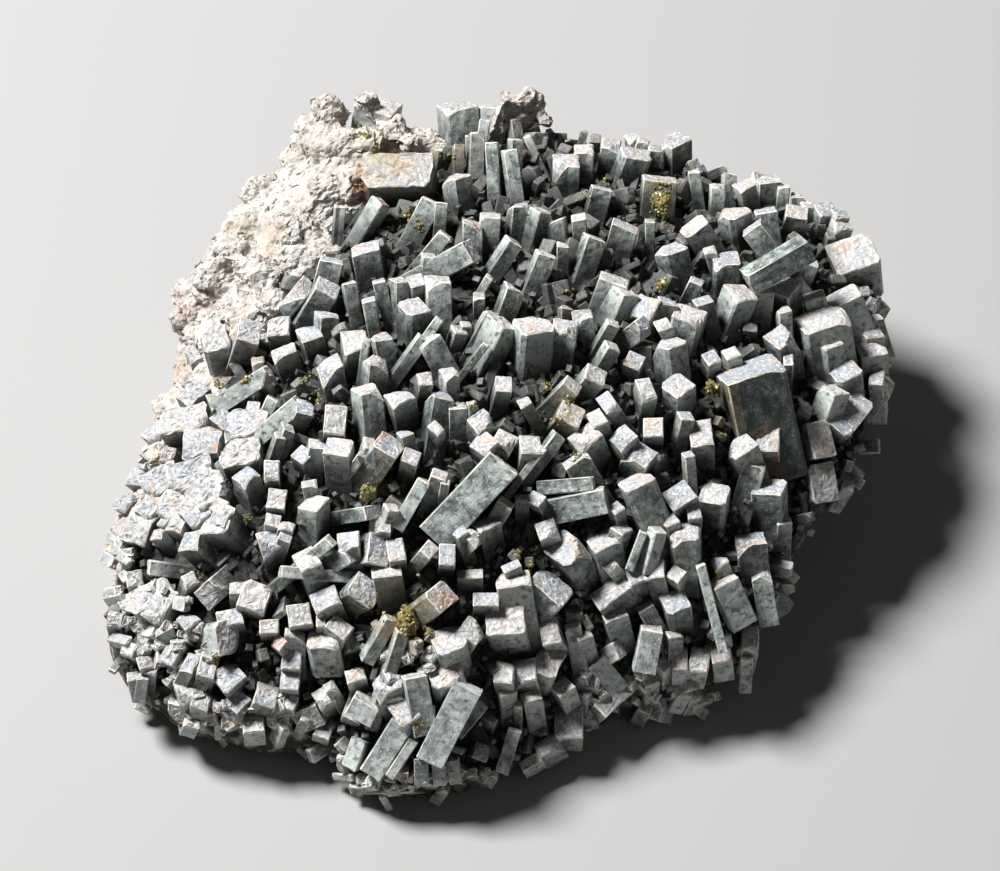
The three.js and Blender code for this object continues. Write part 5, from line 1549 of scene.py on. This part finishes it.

# %% [markdown]
# Painted shade in the crust.
# Light doesn't reach far down between the crystals, so the colour there is painted nearly black as shade.
# Each point is told how deep it lies under the dome, so that a side can be painted darker on its way down.

# %% Painted shade from the depth of each point
SHADE_FROM_DEPTH = 1.2
SHADE_FULL_DEPTH = 5.0
# Small crystals, stubs and the bed lie low, so they always get at least this much painted shade.
SMALL_LEAST_SHADE = 0.55
WALL_ROOM = (-0.5, 2.5)


def note_painted_shade_depth(piece, least):
    """Tells every point how much painted shade its depth gives it: `least` at the top and 1 far down."""
    deep = []
    for vertex in piece.data.vertices:
        point = vertex.co / MM - DOME_MIDDLE
        depth = smoothstep(dome_height(point.x, point.y) - point.z, SHADE_FROM_DEPTH, SHADE_FULL_DEPTH)
        deep.append((least + (1 - least) * depth) * smoothstep(wall_room(point), *WALL_ROOM))
    keep_values(piece.data, "deep", "POINT", deep)


note_painted_shade_depth(crystals, 0)
for piece in (small_crystals, stub_crystals, bed):
    note_painted_shade_depth(piece, SMALL_LEAST_SHADE)
print("depth noted down to", SHADE_FULL_DEPTH, "mm under the dome")

# %% [markdown]
# The finishes.
# Uralite is a fibrous mineral, so its sides have fine streaks along the length in grey-green, with pale
# and dark fibres. The ends are warm grey to lilac with tan patches, and every rubbed edge is cream. All of
# it comes from noise: streaks read the crystal's own UV map, in mm along and across it, and grains
# read the object's coordinates.

# %% Helpers for the finishes
def start_finish(material):
    """Switches a material's nodes on, and returns its tree and its shader."""
    material.use_nodes = True
    return material.node_tree, material.node_tree.nodes["Principled BSDF"]


def grain_noise(tree, scale, detail=2.0, stretch=None, offset=(0, 0, 0)):
    """Noise over the object's coordinates, or with a stretch over the UV map along the crystal."""
    source = new_node(tree, "ShaderNodeTexCoord").outputs["Object" if stretch is None else "UV"]
    laid = {"Vector": source, "Location": offset, "Scale": stretch or (1, 1, 1)}
    vector = new_node(tree, "ShaderNodeMapping", laid).outputs["Vector"]
    grain = {"Vector": vector, "Scale": scale, "Detail": detail}
    return new_node(tree, "ShaderNodeTexNoise", grain).outputs["Fac"]


def between(tree, value, low, high):
    """Stretches the part of `value` from low to high over 0 to 1."""
    part = {"Value": value, "From Min": low, "From Max": high}
    return new_node(tree, "ShaderNodeMapRange", part).outputs["Result"]


def attribute(tree, name):
    """One of the numbers that were kept on the mesh."""
    return new_node(tree, "ShaderNodeAttribute", attribute_name=name).outputs["Fac"]


def added(tree, a, b):
    """The sum of two values."""
    return new_node(tree, "ShaderNodeMath", {0: a, 1: b}, operation="ADD").outputs[0]


def times(tree, a, b):
    """One value times another."""
    return new_node(tree, "ShaderNodeMath", {0: a, 1: b}, operation="MULTIPLY").outputs[0]


def mixed(tree, share, first, second):
    """Colour between first and second; each is a colour or another node's output."""
    ends = [(*end, 1) if isinstance(end, tuple) else end for end in (first, second)]
    blend = {"Factor": share, 6: ends[0], 7: ends[1]}
    return new_node(tree, "ShaderNodeMix", blend, data_type="RGBA").outputs[2]


def bumped(tree, shader, height, distance):
    """Lets the light see a relief `distance` metres high that is too fine to be shaped."""
    bump = new_node(tree, "ShaderNodeBump", {"Height": height, "Distance": distance})
    tree.links.new(bump.outputs["Normal"], shader.inputs["Normal"])


def height_from_cap(tree):
    """How far a place lies below its crystal's cap, in mm and negative, from the UV map along the crystal."""
    along = new_node(tree, "ShaderNodeUVMap", uv_map="along").outputs["UV"]
    return new_node(tree, "ShaderNodeSeparateXYZ", {0: along}).outputs["Y"]


print("helpers are ready for", len(finish), "finishes")

# %% [markdown]
# Dust, stains and painted shade.
# The same things happen to every finish: the depths are painted nearly black as shade, pale rock dust lies in
# patches, and rust and olive stains come through between the grains. So these are laid over each colour by
# two helpers.

# %% Dust, stains and painted shade
DUST_COLOUR = (0.28, 0.28, 0.28)
RUST_COLOUR = (0.33, 0.13, 0.05)
OLIVE_COLOUR = (0.27, 0.19, 0.085)
OLIVE_MOST = 0.95
# The colour of the painted shade deep between the crystals.
PAINTED_SHADE_COLOUR = (0.012, 0.014, 0.012)


def painted_shade_below(tree, colour, most):
    """Paints shade: turns a colour nearly black as it goes down between the crystals."""
    return mixed(tree, times(tree, attribute(tree, "deep"), most), colour, PAINTED_SHADE_COLOUR)


def dusted_and_stained(tree, colour, dust_share):
    """Lays pale rock dust, rust and olive over a colour, in patches."""
    patches = between(tree, grain_noise(tree, 420, 4.0, offset=(3, 1, 2)), 0.42, 0.6)
    dust = times(tree, attribute(tree, "dust"), dust_share)
    colour = mixed(tree, times(tree, dust, patches), colour, DUST_COLOUR)
    grains = between(tree, grain_noise(tree, 700, 3.0, offset=(9, 4, 1)), 0.35, 0.6)
    colour = mixed(tree, times(tree, attribute(tree, "rust"), grains), colour, RUST_COLOUR)
    olive = times(tree, attribute(tree, "olive"), OLIVE_MOST)
    return mixed(tree, times(tree, olive, grains), colour, OLIVE_COLOUR)


print("rust", RUST_COLOUR, "and olive", OLIVE_COLOUR)

# %% [markdown]
# The sides.
# A side is grey-green and mottled, darker in some crystals than in others, with fine fibres along it and
# pale specks of dust. The tone of the crystal and the noise are added up before the colours are mixed, so
# that pale patches run together instead of lying on top of each other.

# %% Crystal sides
SIDE_PALE = (0.46, 0.505, 0.48)
SIDE_MIDDLE = (0.105, 0.128, 0.12)
SIDE_DARK = (0.03, 0.04, 0.036)
SPECK = (0.70, 0.71, 0.69)
TONE_WEIGHT = 0.36
STREAK_WEIGHT = 0.36
# How far down from the cap the sides are paler, and by how much.
NEAR_CAP_HEIGHT = 3.0
NEAR_CAP_WEIGHT = 0.12
SPOT_WEIGHT = 0.75
FIBRE_WEIGHT = 0.3

tree, shader = start_finish(finish["crystal side"])
streaks = grain_noise(tree, 1.0, 5.0, stretch=(3.4, 0.3, 1))
fibres = grain_noise(tree, 1.0, 3.0, stretch=(9.0, 0.8, 1), offset=(7, 3, 0))
mottle = grain_noise(tree, 420, 5.0, offset=(4, 9, 2))
paleness = added(tree, mottle, times(tree, attribute(tree, "tone"), TONE_WEIGHT))
paleness = added(tree, paleness, times(tree, streaks, STREAK_WEIGHT))
# The sides are paler within a few millimetres of the cap.
near_cap_paleness = times(tree, between(tree, height_from_cap(tree), -NEAR_CAP_HEIGHT, 0.0), NEAR_CAP_WEIGHT)
paleness = added(tree, paleness, near_cap_paleness)
colour = mixed(tree, between(tree, paleness, 0.4, 0.64), SIDE_DARK, SIDE_MIDDLE)
colour = mixed(tree, between(tree, paleness, 0.64, 1.0), colour, SIDE_PALE)
dark_spots = between(tree, grain_noise(tree, 800, 4.0, offset=(2, 5, 8)), 0.52, 0.66)
colour = mixed(tree, times(tree, dark_spots, SPOT_WEIGHT), colour, SIDE_DARK)
dark_fibres = times(tree, between(tree, fibres, 0.54, 0.7), FIBRE_WEIGHT)
colour = mixed(tree, dark_fibres, colour, SIDE_DARK)
specks = between(tree, grain_noise(tree, 2300, 3.0, offset=(1, 8, 5)), 0.58, 0.76)
specks = times(tree, specks, between(tree, paleness, 0.35, 0.7))
colour = mixed(tree, specks, colour, SPECK)
colour = dusted_and_stained(tree, colour, 0.8)
# Painted shade: the sides turn nearly black on their way down between the crystals.
tree.links.new(painted_shade_below(tree, colour, 0.93), shader.inputs["Base Color"])
shader.inputs["Roughness"].default_value = 0.62
bumped(tree, shader, added(tree, times(tree, streaks, 0.12), mottle), 0.0004)
print("nodes for the sides:", len(tree.nodes))

# %% [markdown]
# The caps.
# An end is broken across the fibres, so it is sugary: warm grey to lilac, with tan clouds, dark pits and
# bright specks. Pits are more common on the dusty, broken ends of the left flank.

# %% Crystal caps
CAP_WARM = (0.43, 0.41, 0.385)
CAP_TAN = (0.38, 0.275, 0.205)
CAP_LILAC = (0.28, 0.298, 0.33)
CAP_DARK = (0.10, 0.105, 0.10)
TAN_WEIGHT = 0.8
PITS_LEAST = 0.45
PITS_WITH_DUST = 0.5

tree, shader = start_finish(finish["crystal cap"])
clouds = grain_noise(tree, 300, 5.0, offset=(2, 2, 2))
kind = added(tree, clouds, times(tree, attribute(tree, "tone"), 0.3))
colour = mixed(tree, between(tree, kind, 0.5, 0.8), CAP_LILAC, CAP_WARM)
tan = between(tree, grain_noise(tree, 230, 5.0, offset=(5, 1, 7)), 0.54, 0.66)
colour = mixed(tree, times(tree, tan, TAN_WEIGHT), colour, CAP_TAN)
pits = between(tree, grain_noise(tree, 1300, 4.0, offset=(4, 4, 9)), 0.5, 0.68)
pitted = added(tree, times(tree, attribute(tree, "dust"), PITS_WITH_DUST), PITS_LEAST)
colour = mixed(tree, times(tree, pits, pitted), colour, CAP_DARK)
specks = between(tree, grain_noise(tree, 1700, 3.0, offset=(6, 2, 3)), 0.54, 0.72)
colour = mixed(tree, specks, colour, SPECK)
colour = dusted_and_stained(tree, colour, 0.7)
# Painted shade: caps that lie deep between the crystals are darkened.
tree.links.new(painted_shade_below(tree, colour, 0.85), shader.inputs["Base Color"])
shader.inputs["Roughness"].default_value = 0.55
bumped(tree, shader, grain_noise(tree, 600, 5.0, offset=(4, 4, 9)), 0.0006)
print("nodes for the caps:", len(tree.nodes))

# %% [markdown]
# The edges.
# Every edge is rubbed to cream round the cap, but not evenly: noise lets the cap's own colour through in
# places, and the edges along the sides turn greyer on their way down.

# %% Worn edges
EDGE_CREAM = (0.72, 0.645, 0.535)
EDGE_LOW = (0.24, 0.262, 0.248)
EDGE_FADE = 6.0

tree, shader = start_finish(finish["worn edge"])
breaks = between(tree, grain_noise(tree, 500, 4.0, offset=(8, 8, 1)), 0.4, 0.56)
colour = mixed(tree, breaks, CAP_WARM, EDGE_CREAM)
worn = between(tree, height_from_cap(tree), -EDGE_FADE, 0.0)
worn = added(tree, worn, times(tree, breaks, 0.3))
colour = mixed(tree, worn, EDGE_LOW, colour)
colour = dusted_and_stained(tree, colour, 0.5)
# Painted shade: edges that lie deep between the crystals are darkened.
tree.links.new(painted_shade_below(tree, colour, 0.9), shader.inputs["Base Color"])
shader.inputs["Roughness"].default_value = 0.75
bumped(tree, shader, grain_noise(tree, 1500, 3.0), 0.0002)
print("nodes for the edges:", len(tree.nodes))

# %% [markdown]
# The bed.
# The bed is dark crumbs with a few tan ones, dull all over, and it is mostly seen deep between crystals, so
# its dark colour is made darker still as painted shade.

# %% Bed finish
# Dark crumbs, made darker still as painted shade for the deep gaps.
BED_DARK_AND_PAINTED_SHADE = (0.035, 0.036, 0.028)
BED_CRUMB = (0.30, 0.27, 0.22)

tree, shader = start_finish(finish["crust bed"])
colour = mixed(tree, between(tree, grain_noise(tree, 420, 4.0), 0.5, 0.64), BED_DARK_AND_PAINTED_SHADE, BED_CRUMB)
colour = dusted_and_stained(tree, colour, 0.9)
# Painted shade: the bed turns nearly black deep between the crystals.
tree.links.new(painted_shade_below(tree, colour, 0.8), shader.inputs["Base Color"])
shader.inputs["Roughness"].default_value = 0.9
bumped(tree, shader, grain_noise(tree, 900, 4.0), 0.0005)
print("nodes for the bed:", len(tree.nodes))

# %% [markdown]
# The rock's finish.
# The rock is cream feldspar with pink and grey grains. Towards the right it is painted dark, as the shade on
# that side:
# x less y rises that way, so a range of that difference blends the dark colour in.

# %% Rock finish
ROCK_CREAM = (0.47, 0.44, 0.395)
ROCK_PINK = (0.39, 0.32, 0.27)
ROCK_GREY = (0.24, 0.24, 0.235)
# Dark grains of the rock; the same colour is the painted shade on its right side.
ROCK_DARK_GRAIN_AND_SHADE = (0.06, 0.06, 0.055)
# Painted shade on the rock's right side: the range of x less y over which it comes in, and how strong it
# gets.
PAINTED_SHADE_FROM_TO = (-0.01, 0.06)
PAINTED_SHADE_MOST = 0.75

tree, shader = start_finish(finish["bare rock"])
colour = mixed(tree, between(tree, grain_noise(tree, 160, 5.0), 0.46, 0.66), ROCK_CREAM, ROCK_PINK)
grey = between(tree, grain_noise(tree, 620, 5.0, offset=(2, 6, 1)), 0.5, 0.66)
colour = mixed(tree, times(tree, grey, 0.8), colour, ROCK_GREY)
dark_grains = between(tree, grain_noise(tree, 900, 3.0, offset=(5, 5, 5)), 0.64, 0.72)
colour = mixed(tree, dark_grains, colour, ROCK_DARK_GRAIN_AND_SHADE)
# Painted shade in the hollow of the ear.
colour = painted_shade_below(tree, dusted_and_stained(tree, colour, 0.0), 0.8)
# Painted shade: the rock turns dark towards the right.
place = new_node(tree, "ShaderNodeTexCoord").outputs["Object"]
apart = new_node(tree, "ShaderNodeSeparateXYZ", {0: place}).outputs
to_the_right = new_node(tree, "ShaderNodeMath", {0: apart["X"], 1: apart["Y"]}, operation="SUBTRACT")
painted_shade_right = between(tree, to_the_right.outputs[0], *PAINTED_SHADE_FROM_TO)
colour = mixed(tree, times(tree, painted_shade_right, PAINTED_SHADE_MOST), colour, ROCK_DARK_GRAIN_AND_SHADE)
tree.links.new(colour, shader.inputs["Base Color"])
shader.inputs["Roughness"].default_value = 0.9
bumped(tree, shader, grain_noise(tree, 900, 5.0), 0.0007)
print("nodes for the rock:", len(tree.nodes))

# %% [markdown]
# The epidote's finish.
# Epidote is gold to olive with dark grains, and a little glassy, so it has the lowest roughness.

# %% Epidote finish
EPIDOTE_GREEN = (0.12, 0.122, 0.045)
EPIDOTE_GOLD = (0.25, 0.195, 0.065)
EPIDOTE_DARK = (0.03, 0.027, 0.012)

tree, shader = start_finish(finish["epidote"])
colour = mixed(tree, between(tree, grain_noise(tree, 300, 3.0), 0.42, 0.6), EPIDOTE_GREEN, EPIDOTE_GOLD)
dark_grains = between(tree, grain_noise(tree, 900, 3.0, offset=(1, 3, 1)), 0.56, 0.68)
colour = mixed(tree, dark_grains, colour, EPIDOTE_DARK)
tree.links.new(colour, shader.inputs["Base Color"])
shader.inputs["Roughness"].default_value = 0.35
print("finishes:", FINISH_NAMES)

# %% [markdown]
# Inside the solids' box.
# The solids give the specimen's size, and the finished pieces may not stand past them. A few crystal
# corners would, by a millimetre at most, so such points are moved back to the box.

# %% Inside the solids' box
EDGE_ROOM = 0.02


def kept_inside(piece, room):
    """Moves any point that stands past the solids' box, less `room` in mm, back to it."""
    mesh = piece.data
    places = np.zeros(len(mesh.vertices) * 3, np.float32)
    mesh.vertices.foreach_get("co", places)
    places = places.reshape(-1, 3)
    low = np.array(cad_box[0]) + room * MM
    high = np.array(cad_box[1]) - room * MM
    moved = np.abs(places - np.clip(places, low, high)).max() / MM
    mesh.vertices.foreach_set("co", np.clip(places, low, high).astype(np.float32).ravel())
    mesh.update()
    return moved


crust_pieces = [crystals, bed, small_crystals, stub_crystals]
rock_pieces = [rock, rock_chips]
epidote_pieces = [epidote_knobs, epidote_grains, epidote_patches]
for piece in crust_pieces + rock_pieces + epidote_pieces:
    print(piece.name, "stood past the box by at most", round(kept_inside(piece, EDGE_ROOM), 2), "mm")

# %% [markdown]
# Pieces and nodes.
# Each piece rides on the one body of the frame, and the solids that the pieces stand for are hidden.

# %% Riding and replacing
slots = {"uralite": crust_pieces, "matrix_rock": rock_pieces, "epidote": epidote_pieces}
for slot_name, pieces in slots.items():
    for piece in pieces:
        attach(piece, "root")
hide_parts("crystal_crust")
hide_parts("matrix")
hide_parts(*KNOB_NODES)
print("pieces:", sum(len(pieces) for pieces in slots.values()))

# %% [markdown]
# Floor, light and camera.
# The light comes from the left, a little from behind, as a large soft lamp does: the left sides and the
# caps are bright and the front sides fall into shade. A pale floor and a weak fill keep the shade readable.

# %% Studio
FLOOR_SIZE = 6.0
FLOOR_COLOUR = (0.31, 0.305, 0.30, 1)
AIM = Vector((0, 0, 0.03))
WORLD_LIGHT = 0.03
# Each lamp's place and width in metres, and its power in watts.
LAMPS = (
    ("key", (-0.74, 0.32, 1.27), 0.45, 58),
    ("fill", (0.5, -0.9, 0.8), 1.2, 1.0),
)


def make_lamp(name, place, size, power):
    """A round, soft, white lamp that faces the specimen."""
    data = bpy.data.lights.new(name, "AREA")
    data.shape = "DISK"
    data.size = size
    data.energy = power
    lamp = bpy.data.objects.new(name, data)
    lamp.location = place
    lamp.rotation_euler = (AIM - Vector(place)).to_track_quat("-Z", "Y").to_euler()
    bpy.context.scene.collection.objects.link(lamp)


half = FLOOR_SIZE / 2
floor_corners = [(-half, -half, 0), (half, -half, 0), (half, half, 0), (-half, half, 0)]
floor_finish = bpy.data.materials.new("pale floor")
floor = new_piece("floor", new_mesh("floor", floor_corners, [(0, 1, 2, 3)], [floor_finish]))
tree, shader = start_finish(floor_finish)
shader.inputs["Base Color"].default_value = FLOOR_COLOUR
shader.inputs["Roughness"].default_value = 0.8

for lamp in LAMPS:
    make_lamp(*lamp)
world = bpy.context.scene.world or bpy.data.worlds.new("studio")
bpy.context.scene.world = world
world.use_nodes = True
world.node_tree.nodes["Background"].inputs["Color"].default_value = (1, 1, 1, 1)
world.node_tree.nodes["Background"].inputs["Strength"].default_value = WORLD_LIGHT
bpy.context.scene.view_settings.view_transform = "Standard"
print(len(LAMPS), "lamps")

# %% [markdown]
# The camera.
# It stands at the same eye that placed the crystals, 50 degrees above the horizon and a metre away. The
# lens follows from the width that has to fill the picture.

# %% Camera
SENSOR_WIDTH = 36
SIGHT_WIDTH = 200

camera_data = bpy.data.cameras.new("camera")
camera_data.sensor_width = SENSOR_WIDTH
camera_data.lens = SENSOR_WIDTH * EYE_DISTANCE / SIGHT_WIDTH
camera = bpy.data.objects.new("camera", camera_data)
facing = Matrix((RIGHT, UP, TOWARDS)).transposed()
camera.matrix_world = Matrix.Translation(eye) @ facing.to_4x4()
bpy.context.scene.collection.objects.link(camera)
bpy.context.scene.camera = camera
print("camera lens:", camera_data.lens, "mm")
